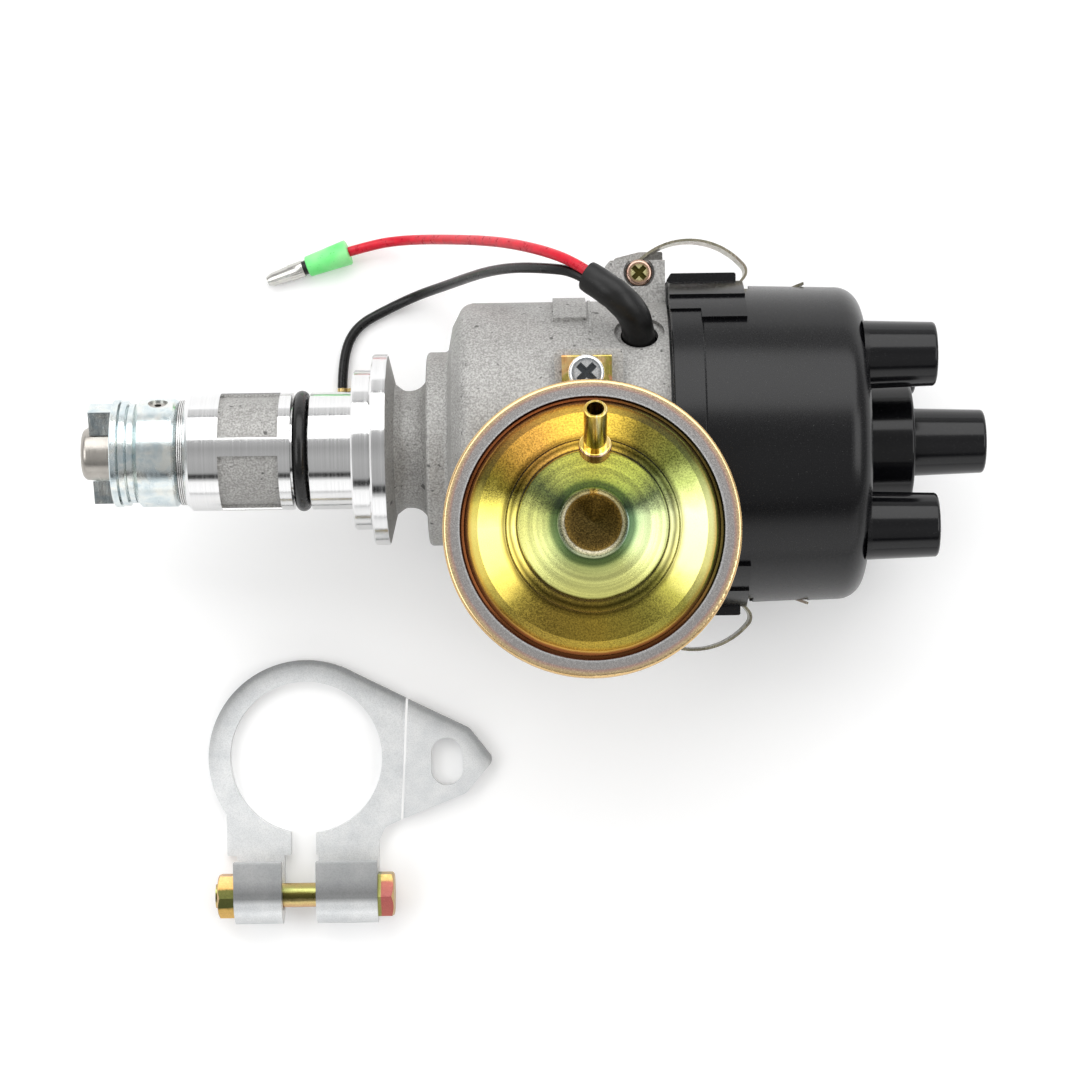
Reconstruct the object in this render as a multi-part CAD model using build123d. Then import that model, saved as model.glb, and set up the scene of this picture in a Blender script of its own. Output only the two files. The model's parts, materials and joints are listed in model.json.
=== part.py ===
from build123d import *
import math
import os

# An ignition distributor lying on its side, in millimetres. X runs along the drive shaft
# from the dog to the cap, Z points up, and the origin is where the clamp ring meets the shank.
# Angles about the shaft are counted from +Y toward +Z.

# Drive shaft and bushes
shaft_radius = 6.05
shaft_end_x = -62.4
shaft_end_round = 1.5
spindle_radius = 3.6
spindle_top_x = 58.0
spindle_screw_length = 10.0
spindle_screw_head_radius = 4.5
spindle_screw_head_height = 2.4
running_clearance = 0.05
seat_clearance = 0.03
bush_wall = 1.95
lower_bush_length = 18.0
upper_bush_length = 26.0
bush_inset = 0.8

# Shank and clamp ring
shank_radius = 13.5
shank_length = 38.4
shank_chamfer = 1.3
groove_start_x = -14.0
groove_width = 4.25
ring_section_radius = 1.75
ring_stand_out = 0.4
window_start_x = -30.3
window_end_x = -16.7
window_depth = 1.0
window_angle = 72.0
window_count = 4
first_rib_angle = 87.0
ring_radius = 18.3
ring_width = 4.0
ring_gap = 0.5
ring_gap_depth = 0.8
flange_radius = 21.9
flange_width = 3.4
flange_cone_radius = 15.0
flange_cone_width = 1.7
neck_radius = 13.45
neck_fillet = 2.0
edge_chamfer = 0.4

# Bowl
step_x = 17.0
step_radius = 22.2
step_width = 4.9
step_fillet = 4.0
step_round = 1.0
shoulder_foot_inset = 5.3
shoulder_foot_width = 1.1
shoulder_inset = 0.6
shoulder_x = 25.4
shoulder_round = 3.0
bowl_radius = 33.3
bowl_start_x = 27.6
bowl_end_x = 71.5
bowl_wall = 3.0
weight_well_wall = 5.3
well_floor_x = 27.0
plate_ledge_x = 44.0
side_pad_start_x = 45.9
side_pad_end_x = 53.3
side_pad_height = 0.9
side_pad_angle = 34.0
parting_ridge_x = 54.1
parting_ridge_width = 0.6
parting_ridge_height = 0.25
parting_ridge_angle = 42.0
bowl_hollow_round = 2.0

# Wire exit
wire_hole_x = 65.0
wire_hole_angle = 42.0
wire_hole_radius = 4.2
wire_recess_radius = 5.6
wire_recess_depth = 1.2

# Spring clips and their lugs, opposite each other; the corners of a clip's line are counted
# from the outer edge of the cap's pad
clip_angles = (0.0, 180.0)
lug_start_x = 57.8
lug_height = 11.7
lug_half_width = 8.0
lug_flank = (2.8, 4.4)
lug_brow = (8.2, 1.3)
lug_round = 1.2
screw_cheek_drop = 3.0
clip_width = 8.0
clip_gap = 0.35
clip_thickness = 0.6
pivot_x = 65.6
pivot_height = 5.9
pivot_radius = 2.0
pivot_clearance = 0.08
eye_floor_gap = 0.25
clip_bow = (-9.7, 16.35)
clip_shoulder = (2.05, 3.2)
clip_hook = (-1.9, -1.45)
clip_tail_bend = (10.1, -1.45)
clip_tail_tip = (14.4, 0.2)
clip_bend_radii = (16.3, 2.3, 0.8, 6.0)
pivot_head_radius = 3.05
pivot_head_height = 1.7
pivot_recess_gap = 0.5
pivot_recess_flat = 3.1

# Distributor cap
cap_seat_width = 2.0
cap_shadow_gap = 0.45
cap_overhang = 3.1
cap_band_height = 0.4
cap_band_end_x = 78.8
cap_band_round = 0.5
cap_draft = 0.8
cap_end_x = 115.7
cap_end_round = 5.5
cap_wall = 3.2
cap_spigot_length = 2.0
cap_spigot_wall = 2.5
cap_spigot_clearance = 0.2
pad_end_x = 88.9
pad_flat_height = 0.6
pad_height = 1.5
pad_half_angle = 28.5
pad_skirt_height = 0.9
pad_skirt_half_angle = 42.0
pad_band_half_angle = 37.0
fence_end_x = 87.6
fence_height = 2.6
fence_thickness = 2.4
fence_slant = (0.9, 1.4)
fence_round = 0.5
fence_gap = 0.2
hook_pocket_width = 1.6
hook_pocket_depth = 1.4
hook_channel_setback = 1.6
hook_channel_depth = 2.1
hook_channel_overrun = 0.3

# Towers of the cap and their terminals
tower_count = 4
tower_ring_inset = 9.4
first_tower_angle = 45.0
tower_base_radius = 7.65
tower_tip_radius = 7.15
tower_end_x = 131.0
tower_edge = 0.8
centre_base_radius = 14.0
centre_base_end_x = 127.2
centre_tower_base_radius = 7.8
centre_tower_tip_radius = 7.25
centre_tower_end_x = 144.3
socket_radius = 4.1
socket_depth = 11.0
cup_radius = 3.6
cup_wall = 0.8
cup_length = 5.0
post_radius = 2.5
post_end_x = 88.5
post_boss_wall = 1.7
post_bare_length = 4.5
brush_radius = 2.4
brush_length = 10.0
brush_clearance = 0.15
brush_spring_wall = 0.7
centre_post_start = 6.0
brush_boss_wall = 2.8
brush_boss_end_x = 97.5

# Rotor arm
rotor_hub_radius = 9.5
rotor_hub_end_x = 84.0
rotor_top_x = 90.0
rotor_arm_width = 12.0
rotor_arm_reach = 20.5
rotor_skirt = 2.0
rotor_skirt_width = 4.0
rotor_seat_gap = 2.0
rotor_edge = 0.8
rotor_rib_length = 8.0
rotor_rib_width = 3.0
blade_thickness = 1.4
blade_width = 7.0
blade_tip_gap = 0.6
blade_tail = 4.0
contact_leaf_radius = 3.0
contact_height = 2.8
rotor_bore_clearance = 0.06

# Cam spindle, trigger ring and pickup
cam_tube_radius = 6.4
spindle_foot_radius = 5.4
cam_tube_top_x = 76.0
cam_counterbore_radius = 4.8
cam_across_flats = 15.6
cam_corner_radius = 9.2
cam_start_x = 40.0
cam_end_x = 57.0
foot_radius = 8.8
foot_start_x = 31.0
foot_thickness = 3.6
trigger_start_x = 49.4
trigger_radius = 13.1
trigger_notch_radius = 2.2
trigger_notch_ring_radius = 14.3
ledge_plate_thickness = 1.5
ledge_plate_clearance = 0.2
collar_bore_radius = 11.6
collar_radius = 14.0
collar_height = 2.0
pickup_plate_inset = 4.3
pickup_plate_gap = 0.3
pickup_plate_thickness = 1.5
module_inner_radius = 14.4
module_outer_radius = 24.6
module_height = 10.0
module_half_angle = 35.0
module_corner = 1.2
ledge_screw_inset = 2.9
ledge_screw_angles = (70.0, 250.0)
ledge_screw_radius = 1.7
ledge_screw_head_radius = 2.6
ledge_screw_head_height = 1.6
ledge_screw_length = 7.0
ledge_boss_radius = 3.2
ledge_boss_length = 9.0
ledge_relief_radius = 7.8
peg_radius = 1.5

# Centrifugal advance
action_plate_x = 28.2
action_plate_thickness = 2.0
action_plate_radius = 24.6
action_plate_half_width = 15.5
weight_pin_ring_radius = 18.0
weight_thickness = 4.0
weight_gap = 0.4
weight_outer_radius = 22.3
weight_inner_radius = 13.0
weight_angle = 95.0
weight_pin_radius = 2.0
rolling_gap = 0.2
spring_post_radius = 1.2
spring_post_top = 1.4
spring_eye_clearance = 0.15
spring_outer_radius = 21.0
spring_outer_angle = 140.0
spring_inner_radius = 7.9
spring_inner_angle = 185.0
spring_level_x = 36.9
spring_coil_radius = 1.7
spring_wire = 0.45
advance_angle = 12.0

# Drive dog and its pin
dog_start_x = -55.0
dog_rings = ((1.8, 12.37), (1.8, 12.07), (1.7, 11.4))
dog_slit = 0.25
dog_slit_radius = 10.8
dog_barrel_radius = 12.4
dog_barrel_end_x = -39.9
dog_barrel_chamfer = 1.0
dog_angle = 25.0
lug_length = 5.3
lug_thickness = 5.4
lug_inner_radius = 6.3
lug_outer_radius = 11.7
pin_x = -44.5
pin_radius = 2.25
pin_bore_radius = 0.8
pin_inset = 0.6
washer_radius = 12.07
washer_thicknesses = (0.4, 0.5, 0.4)
washer_clearance = 0.1

# Vacuum unit
canister_x = 53.5
canister_y = -18.9
canister_rise = 12.8
canister_tilt = 5.0
canister_radius = 32.2
crimp_width = 3.7
crimp_height = 1.7
crimp_depth = 2.4
crimp_wall = 0.9
crimp_round = 0.8
crimp_groove = 0.4
crimp_lip = 1.0
sheet = 1.0
dome_steps = (
    (0.857, 1.5), (0.764, 4.8), (0.581, 6.8), (0.568, 7.6), (0.509, 8.4), (0.497, 9.2), (0.230, 11.6),
)
dome_inset_ratio = 0.4
dome_boss_share = 0.208
dome_boss_rise = 0.6
dome_boss_edge = 0.8
dome_boss_top = 13.6
diaphragm_thickness = 0.6
pan_depth = 8.0
pan_floor_share = 0.621
pan_hole_radius = 4.0
saddle_share = 0.435
rod_radius = 1.6
rod_cup_share = 0.342
rod_cup_thickness = 1.2
rod_cup_clearance = 0.3
eye_radius = 3.8
eye_clearance = 0.2
eye_thickness = 1.6
vacuum_travel = 3.2
vacuum_spring_radius = 6.0
vacuum_spring_wire = 0.7
vacuum_spring_turns = 4
nozzle_offset = (0.7, 16.8, 7.2)
nozzle_tilt = 38.0
nozzle_radius = 2.5
nozzle_bore_radius = 1.85
nozzle_collar_radius = 3.55
nozzle_collar_length = 2.6
nozzle_collar_seat = 0.6
nozzle_round = 0.5
nozzle_length = 13.2
nozzle_root = 2.6

# Bracket of the vacuum unit
facing_inset = 1.1
facing_start_x = 45.9
facing_end_x = 61.0
facing_start_y = -13.0
facing_end_y = 20.5
facing_depth = 9.0
facing_corner = 1.5
bracket_start_x = 47.5
bracket_end_x = 58.5
bracket_end_y = 19.1
bracket_bend_y = -6.0
bracket_thickness = 1.5
bracket_rise_run = 3.0
bracket_screw_x = 52.9
bracket_screw_inset = 4.0
bracket_screw_radius = 2.0
bracket_screw_head_radius = 4.0
bracket_screw_head_height = 1.8
bracket_screw_length = 7.0
bracket_hole_clearance = 0.2
screw_dome_share = 0.45
cross_slot_share = 1.2
cross_slot_width = 0.9
cross_slot_depth = 0.9

# Wires: the routes are points chosen along each wire
sleeve_radius = 3.6
sleeve_route = (
    (65.0, 22.6, 20.4), (64.6, 27.4, 25.2), (60.9, 31.6, 28.0), (57.2, 34.4, 27.8), (53.6, 37.0, 26.2),
)
wire_radius = 1.2
wire_pair_offset = (0.18, 0.8, 0.89)
wire_end_gap = 0.1
red_route = (
    (50.7, 40.0, 25.7), (45.3, 42.8, 21.0), (37.2, 45.9, 10.6), (29.6, 48.1, -2.6), (22.4, 49.7, -15.6),
    (15.4, 50.9, -26.2), (9.2, 51.2, -31.4), (3.7, 50.6, -32.7),
)
black_route = (
    (50.4, 38.3, 24.0), (45.0, 39.4, 19.6), (37.6, 40.6, 10.0), (31.2, 40.9, -2.0), (25.6, 40.4, -14.4),
    (20.2, 39.6, -25.4), (13.8, 38.3, -33.6), (6.4, 35.2, -35.6), (-1.6, 31.0, -35.6), (-4.8, 23.8, -35.6),
)
bullet_start = (-2.8, 48.9, -33.3)
bullet_direction = (-0.944, -0.316, -0.093)
bullet_sleeve_length = 10.7
bullet_sleeve_radii = (3.1, 2.5)
bullet_length = 10.4
bullet_radius = 2.0
bullet_tip_radius = 1.1
bullet_neck_radius = 1.65
bullet_collar_length = 4.2
bullet_round = 0.4
flag_start = (-5.0, 16.2, -35.6)
flag_barrel_length = 6.0
flag_barrel_radius = 1.19
flag_blade_length = 10.6
flag_blade_width = 6.2
flag_blade_thickness = 0.8
flag_curl_start = 3.0
flag_curl_width = 1.0
flag_curl_height = 1.1

# Clamp plate, lying beside the distributor on the same surface
clamp_x = -15.0
clamp_y = -73.0
clamp_bore_radius = 18.35
clamp_outer_radius = 23.5
clamp_thickness = 3.0
clamp_slit_left_x = -3.9
clamp_slit_right_x = 2.1
arm_joggle_x = 24.6
arm_joggle_height = 1.0
arm_joggle_width = 1.2
arm_outline = (
    (4.0, 10.0, 0), (8.6, 21.9, 0), (24.8, 13.8, 0), (39.5, 6.6, 3.0), (45.4, -1.0, 2.0),
    (38.6, -9.0, 3.0), (23.8, -14.8, 0), (18.9, -17.0, 2.0), (17.3, -20.5, 2.0), (17.3, -24.0, 0),
    (4.0, -24.0, 0),
)
slot_x = 34.0
slot_y = -1.3
slot_width = 7.6
slot_length = 11.5
left_cheek_x = -19.3
right_cheek_x = 17.3
ear_spans = ((-16.9, -5.5), (2.7, 17.3))
ear_start_y = -23.4
ear_axis_y = -32.6
ear_bore_radius = 3.8
ear_flap = 8.5
clamp_bolt_radius = 2.9
hexagon_across_flats = 10.0
hexagon_top_share = 0.94
hexagon_cone_angle = 30.0
bolt_head_height = 3.9
nut_height = 4.1
nut_overhang = 0.6

# Places that follow from the sizes above
shank_end_x = -shank_length
lug_top_y = bowl_radius + lug_height
pivot_y = bowl_radius + pivot_height
cap_radius = bowl_radius + cap_overhang
cap_band_radius = cap_radius + cap_band_height
cap_end_radius = cap_radius - cap_draft
pad_top_y = cap_radius + pad_flat_height
pad_radius = cap_radius + pad_height
pad_skirt_radius = cap_radius + pad_skirt_height
fence_top_y = cap_radius + fence_height
tower_ring_radius = cap_radius - tower_ring_inset
facing_z = bowl_radius - facing_inset
canister_z = facing_z + canister_rise
crimp_inner_radius = canister_radius - crimp_width
pan_top_radius = crimp_inner_radius - crimp_lip
pan_floor_radius = canister_radius * pan_floor_share
saddle_radius = canister_radius * saddle_share
rod_cup_radius = canister_radius * rod_cup_share
dome_boss_radius = canister_radius * dome_boss_share
hidden_screw_y = canister_y + pan_floor_radius + bracket_screw_head_radius + running_clearance
bracket_screw_ys = (bracket_end_y - bracket_screw_inset, hidden_screw_y)
bush_radius = shaft_radius + running_clearance + bush_wall
groove_radius = shank_radius + ring_stand_out - 2 * ring_section_radius
flange_start_x = ring_width + ring_gap
flange_end_x = flange_start_x + flange_width
bowl_inner_radius = bowl_radius - bowl_wall
ledge_screw_ring_radius = bowl_inner_radius - ledge_screw_inset
pickup_plate_radius = bowl_inner_radius - pickup_plate_inset
lug_slot_half_width = clip_width / 2 + clip_gap
clip_eye_radius = pivot_radius + pivot_clearance + clip_thickness / 2
screw_cheek_y = lug_top_y - screw_cheek_drop
fence_inner_z = lug_slot_half_width + fence_gap
cap_inner_end_x = cap_end_x - cap_wall
surface_z = -cap_band_radius
canister_place = Pos(canister_x, canister_y, canister_z) * Rot(-canister_tilt, 0, 0)
tilt = math.radians(canister_tilt)
rod_eye_depth = canister_z / math.cos(tilt)
rod_eye_y = canister_y - canister_z * math.tan(tilt)
pickup_plate_x = plate_ledge_x + ledge_plate_thickness + pickup_plate_gap
module_start_x = pickup_plate_x + pickup_plate_thickness
action_plate_end_x = action_plate_x + action_plate_thickness
weight_start_x = action_plate_end_x + weight_gap
tower_angles = [first_tower_angle + 360 / tower_count * index for index in range(tower_count)]


def outline(*corners):
    """Closed face through (x, y, corner radius) points."""
    points = [(x, y) for x, y, corner in corners]
    radii = [corner for x, y, corner in corners]
    if max(radii) == 0:
        return make_face(Polyline(*points, close=True))
    return make_face(FilletPolyline(*points, radius=radii, close=True))


def turned(*corners, arc=360):
    """Solid of revolution about the shaft, from (x, radius, corner radius) points."""
    return revolve(outline(*corners), Axis.X, arc)


def spun(*corners):
    """Solid of revolution about Z, from (radius, z, corner radius) points."""
    return revolve(Plane.XZ * outline(*corners), Axis.Z)


def about_shaft(shape, angle):
    return Rot(angle, 0, 0) * shape


def bar(start_x, end_x, radius, y=0, z=0):
    """Round bar along the shaft's direction."""
    return Pos((start_x + end_x) / 2, y, z) * Rot(0, 90, 0) * Cylinder(radius, end_x - start_x)


def sector(start_x, end_x, inner, outer, first_angle, last_angle):
    """Part of a ring about the shaft, between two angles."""
    corners = ((start_x, inner, 0), (end_x, inner, 0), (end_x, outer, 0), (start_x, outer, 0))
    return about_shaft(turned(*corners, arc=last_angle - first_angle), first_angle)


def block(start_x, end_x, start_y, end_y, start_z, end_z):
    """Box between two corners."""
    middle = Pos((start_x + end_x) / 2, (start_y + end_y) / 2, (start_z + end_z) / 2)
    return middle * Box(end_x - start_x, end_y - start_y, end_z - start_z)


def polar(radius, angle):
    """Y and Z of a point at a radius and angle about the shaft."""
    turn = math.radians(angle)
    return radius * math.cos(turn), radius * math.sin(turn)


def hexagon(across_flats, thickness):
    """Hexagonal prism about Z with its corners rounded off by a cone on top."""
    corner_radius = across_flats / math.sqrt(3)
    top_radius = across_flats / 2 * hexagon_top_share
    cone_height = (corner_radius - top_radius) * math.tan(math.radians(hexagon_cone_angle))
    round_off = spun(
        (0, 0, 0),
        (corner_radius + 1, 0, 0),
        (corner_radius + 1, thickness - cone_height, 0),
        (corner_radius, thickness - cone_height, 0),
        (top_radius, thickness, 0),
        (0, thickness, 0),
    )
    return extrude(RegularPolygon(corner_radius, 6), thickness) & round_off


def cross_head(radius, height):
    """Screw head about Z, from z = 0, with a domed top and a cross recess."""
    head = spun((0, 0, 0), (radius, 0, 0), (radius, height, height * screw_dome_share), (0, height, 0))
    reach = radius * cross_slot_share
    for angle in (45, 135):
        slot = Pos(0, 0, height) * Rot(0, 0, angle) * Box(reach, cross_slot_width, cross_slot_depth * 2)
        head -= slot
    return head


def save(name, *solids):
    shape = solids[0] if len(solids) == 1 else Compound(children=list(solids))
    shape.label = name
    export_step(shape, f"parts/{name}.step")


def make_housing():
    casting = turned(
        (shank_end_x, 0, 0),
        (shank_end_x, shank_radius - shank_chamfer, 0),
        (shank_end_x + shank_chamfer, shank_radius, 0),
        (groove_start_x, shank_radius, 0),
        (groove_start_x, groove_radius, 0),
        (groove_start_x + groove_width, groove_radius, 0),
        (groove_start_x + groove_width, shank_radius, 0),
        (0, shank_radius, 0),
        (0, ring_radius - edge_chamfer, 0),
        (edge_chamfer, ring_radius, 0),
        (ring_width, ring_radius, 0),
        (ring_width, ring_radius - ring_gap_depth, 0),
        (flange_start_x, ring_radius - ring_gap_depth, 0),
        (flange_start_x, flange_radius - edge_chamfer, 0),
        (flange_start_x + edge_chamfer, flange_radius, 0),
        (flange_end_x, flange_radius, 0),
        (flange_end_x + flange_cone_width, flange_cone_radius, 0),
        (flange_end_x + flange_cone_width + neck_fillet, neck_radius, neck_fillet),
        (step_x, neck_radius, step_fillet),
        (step_x, step_radius, step_round),
        (step_x + step_width, step_radius, step_round),
        (step_x + step_width + shoulder_foot_width, bowl_radius - shoulder_foot_inset, step_round * 0.8),
        (shoulder_x, bowl_radius - shoulder_inset, shoulder_round),
        (bowl_start_x, bowl_radius, 0),
        (bowl_end_x, bowl_radius, 0),
        (bowl_end_x, 0, 0),
    )
    casting += sector(
        side_pad_start_x, side_pad_end_x, bowl_inner_radius, bowl_radius + side_pad_height, 0, side_pad_angle
    )
    casting += sector(
        parting_ridge_x - parting_ridge_width / 2, parting_ridge_x + parting_ridge_width / 2,
        bowl_inner_radius, bowl_radius + parting_ridge_height, 0, parting_ridge_angle,
    )
    facing = block(
        facing_start_x, facing_end_x, facing_start_y, facing_end_y, facing_z - facing_depth, facing_z
    )
    casting += fillet(facing.edges().filter_by(Axis.Z), facing_corner)
    casting -= block(facing_start_x, facing_end_x, facing_start_y, facing_end_y, facing_z, bowl_radius + 2)
    for angle in clip_angles:
        casting += about_shaft(make_lug(), angle)

    casting -= turned(
        (well_floor_x, 0, 0),
        (well_floor_x, bowl_radius - weight_well_wall, bowl_hollow_round),
        (plate_ledge_x, bowl_radius - weight_well_wall, 0),
        (plate_ledge_x, bowl_inner_radius, 0),
        (bowl_end_x + 1, bowl_inner_radius, 0),
        (bowl_end_x + 1, 0, 0),
    )
    casting -= bar(shank_end_x - 1, well_floor_x + 1, bush_radius)
    for index in range(window_count):
        pitch = 360 / window_count
        start = first_rib_angle + (pitch - window_angle) / 2 + pitch * index
        casting -= sector(
            window_start_x, window_end_x, shank_radius - window_depth, shank_radius + 1,
            start, start + window_angle,
        )
    for angle in clip_angles:
        casting -= about_shaft(make_lug_cuts(), angle)
    casting -= wire_hole_cutter()
    rod_hole = Cylinder(pan_hole_radius, canister_z)
    casting -= canister_place * Pos(0, 0, -pan_depth - canister_z / 2) * rod_hole
    for y in bracket_screw_ys:
        depth = bracket_screw_length + 1
        casting -= Pos(bracket_screw_x, y, facing_z - depth / 2) * Cylinder(bracket_screw_radius, depth)
    for angle in ledge_screw_angles:
        y, z = polar(ledge_screw_ring_radius, angle)
        boss = bar(plate_ledge_x - ledge_boss_length, plate_ledge_x, ledge_boss_radius, y, z)
        casting += boss & bar(shank_end_x, bowl_end_x, bowl_radius - 0.5)
        casting -= bar(plate_ledge_x - ledge_screw_length, plate_ledge_x + 1, ledge_screw_radius, y, z)
    return casting


def make_lug():
    """Clip lug on the +Y side, its cheek at the screw's head lower than the other."""
    face = outline(
        (lug_start_x, bowl_inner_radius, 0),
        (lug_start_x, lug_top_y - lug_flank[1], lug_round),
        (lug_start_x + lug_flank[0], lug_top_y - lug_brow[1], lug_round),
        (lug_start_x + lug_brow[0], lug_top_y, lug_round),
        (bowl_end_x, lug_top_y, lug_round / 3),
        (bowl_end_x, bowl_inner_radius, 0),
    )
    lug = extrude(face, lug_half_width, both=True)
    return lug - block(
        lug_start_x - 1, bowl_end_x + 1, screw_cheek_y, lug_top_y + 1, lug_slot_half_width, lug_half_width + 1
    )


def make_lug_cuts():
    """Slot for the clip, pivot hole and the D-shaped recess of the pivot screw's head."""
    slot_floor_y = pivot_y - clip_eye_radius - clip_thickness / 2 - eye_floor_gap
    cuts = block(
        lug_start_x - 1, bowl_end_x + 1, slot_floor_y, lug_top_y + 1,
        -lug_slot_half_width, lug_slot_half_width,
    )
    pivot = Pos(pivot_x, pivot_y)
    cuts += pivot * Cylinder(pivot_radius, 2 * lug_half_width + 2)
    recess = extrude(Circle(pivot_head_radius + pivot_recess_gap), pivot_head_height + 1)
    reach = 2 * pivot_head_radius
    recess &= block(-reach, reach, -pivot_recess_flat, reach, 0, pivot_head_height + 1)
    cuts += pivot * Pos(0, 0, lug_half_width - pivot_head_height) * recess
    return cuts


def wire_hole_cutter():
    """Hole through the bowl wall, with a shallow cast recess round it."""
    hole = Pos(0, bowl_radius, 0) * Rot(90, 0, 0) * Cylinder(wire_hole_radius, 4 * bowl_wall)
    recess = Pos(0, bowl_radius, 0) * Rot(90, 0, 0) * Cylinder(wire_recess_radius, 2 * wire_recess_depth)
    return Pos(wire_hole_x, 0, 0) * about_shaft(hole + recess, wire_hole_angle)


def make_bush(start_x, length):
    bore = shaft_radius + running_clearance
    return bar(start_x, start_x + length, bush_radius) - bar(start_x - 1, start_x + length + 1, bore)


def make_shank_seal():
    """Round-section seal, squeezed level with the shank as it is in its bore."""
    centre_radius = (groove_radius + shank_radius) / 2
    half_height = shank_radius - centre_radius
    section = Ellipse(ring_section_radius**2 / half_height, half_height - seat_clearance)
    return revolve(Pos(groove_start_x + groove_width / 2, centre_radius) * section, Axis.X)


def make_drive_shaft():
    shaft = turned(
        (shaft_end_x, 0, 0),
        (shaft_end_x, shaft_radius, shaft_end_round),
        (action_plate_end_x, shaft_radius, 0),
        (action_plate_end_x, spindle_radius, 0),
        (spindle_top_x, spindle_radius, edge_chamfer),
        (spindle_top_x, 0, 0),
    )
    shaft -= bar(spindle_top_x - spindle_screw_length - 2, spindle_top_x + 1, ledge_screw_radius)
    return shaft - dog_pin_hole(pin_radius)


def dog_pin_hole(radius):
    across = Pos(pin_x, 0, 0) * Rot(90, 0, 0) * Cylinder(radius, 4 * dog_barrel_radius)
    return about_shaft(across, dog_angle)


def make_drive_dog():
    corners = [(dog_start_x, 0, 0)]
    x = dog_start_x
    for width, radius in dog_rings:
        corners += [
            (x, radius - dog_slit, 0),
            (x + dog_slit, radius, 0),
            (x + width - dog_slit, radius, 0),
            (x + width - dog_slit, dog_slit_radius, 0),
            (x + width, dog_slit_radius, 0),
        ]
        x += width
    corners += [
        (x, dog_barrel_radius - dog_barrel_chamfer, 0),
        (x + dog_barrel_chamfer, dog_barrel_radius, 0),
        (dog_barrel_end_x - dog_barrel_chamfer, dog_barrel_radius, 0),
        (dog_barrel_end_x, dog_barrel_radius - dog_barrel_chamfer, 0),
        (dog_barrel_end_x, 0, 0),
    ]
    dog = turned(*corners)
    tongue = bar(dog_start_x - lug_length, dog_start_x + 1, lug_outer_radius)
    tongue &= block(
        dog_start_x - lug_length - 1, dog_start_x + 1, -lug_outer_radius, lug_outer_radius,
        -lug_thickness / 2, lug_thickness / 2,
    )
    tongue -= bar(dog_start_x - lug_length - 1, dog_start_x, lug_inner_radius)
    dog += about_shaft(tongue, dog_angle)
    dog -= bar(shaft_end_x, dog_barrel_end_x + 1, shaft_radius + seat_clearance)
    return dog - dog_pin_hole(pin_radius)


def make_dog_pin():
    length = 2 * (dog_barrel_radius - pin_inset)
    pin = Cylinder(pin_radius - seat_clearance, length) - Cylinder(pin_bore_radius, length + 1)
    return about_shaft(Pos(pin_x, 0, 0) * Rot(90, 0, 0) * pin, dog_angle)


def make_thrust_washers():
    washers = []
    x = shank_end_x - washer_clearance
    for thickness in washer_thicknesses:
        bore = bar(x - thickness - 1, x + 1, shaft_radius + washer_clearance)
        washer = bar(x - thickness, x, washer_radius) - bore
        washers.append(washer)
        x -= thickness
    return washers


def make_action_plate():
    plate = bar(action_plate_x, action_plate_end_x, action_plate_radius)
    plate &= block(
        action_plate_x, action_plate_end_x, -action_plate_radius, action_plate_radius,
        -action_plate_half_width, action_plate_half_width,
    )
    plate -= bar(action_plate_x - 1, action_plate_end_x + 1, shaft_radius + seat_clearance)
    pin_end_x = weight_start_x + weight_thickness + weight_gap
    for side in (0, 180):
        y, z = polar(weight_pin_ring_radius, side)
        plate += bar(action_plate_end_x, pin_end_x, weight_pin_radius, y, z)
        y, z = polar(spring_outer_radius, spring_outer_angle + side)
        plate += bar(action_plate_end_x - 1, spring_level_x + spring_post_top, spring_post_radius, y, z)
    return plate


def make_flyweight(side):
    """Curved weight whose rounded heel rolls on the cam foot as it swings out."""
    end_x = weight_start_x + weight_thickness
    heel_radius = weight_pin_ring_radius / 2 - rolling_gap / 2
    weight = sector(weight_start_x, end_x, weight_inner_radius, weight_outer_radius, 0, weight_angle)
    y, z = polar(weight_pin_ring_radius, 0)
    heel = bar(weight_start_x, end_x, heel_radius, y, z)
    weight += heel & bar(weight_start_x, end_x, weight_outer_radius + 2)
    weight -= bar(weight_start_x - 1, end_x + 1, weight_pin_radius + running_clearance, y, z)
    return about_shaft(weight, side)


def make_weight_spring(side):
    """Tension spring with a round eye on the plate's post and a long eye on the cam foot's post."""
    outer = Vector(0, *polar(spring_outer_radius, spring_outer_angle))
    inner = Vector(0, *polar(spring_inner_radius, spring_inner_angle))
    moved = Vector(0, *polar(spring_inner_radius, spring_inner_angle + advance_angle))
    eye_hole = spring_post_radius + spring_eye_clearance
    eye_rim = eye_hole + 2 * spring_wire
    half = spring_wire

    def disc(point, radius, extra=0.0):
        return bar(-half - extra, half + extra, radius, point.Y, point.Z)

    def link(start, end, radius, extra=0.0):
        middle = (start + end) * 0.5
        angle = math.degrees(math.atan2(end.Z - start.Z, end.Y - start.Y))
        length = (end - start).length
        bridge = Rot(angle, 0, 0) * Box(2 * (half + extra), length, 2 * radius)
        return Pos(0, middle.Y, middle.Z) * bridge + disc(start, radius, extra) + disc(end, radius, extra)

    along = (inner - outer).normalized()
    coil_start = outer + along * (eye_rim - half)
    coil_end = inner - along * (eye_rim - half)
    coil_axis = Plane(origin=coil_start, z_dir=along)
    coil_length = (coil_end - coil_start).length
    coil_section = Circle(spring_coil_radius) - Circle(spring_coil_radius - 2 * spring_wire)
    coil = coil_axis * extrude(coil_section, coil_length)
    spring = coil + disc(outer, eye_rim) + link(inner, moved, eye_rim)
    spring -= disc(outer, eye_hole, 3)
    spring -= link(inner, moved, eye_hole, 3)
    return about_shaft(Pos(spring_level_x, 0, 0) * spring, side)


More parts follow.
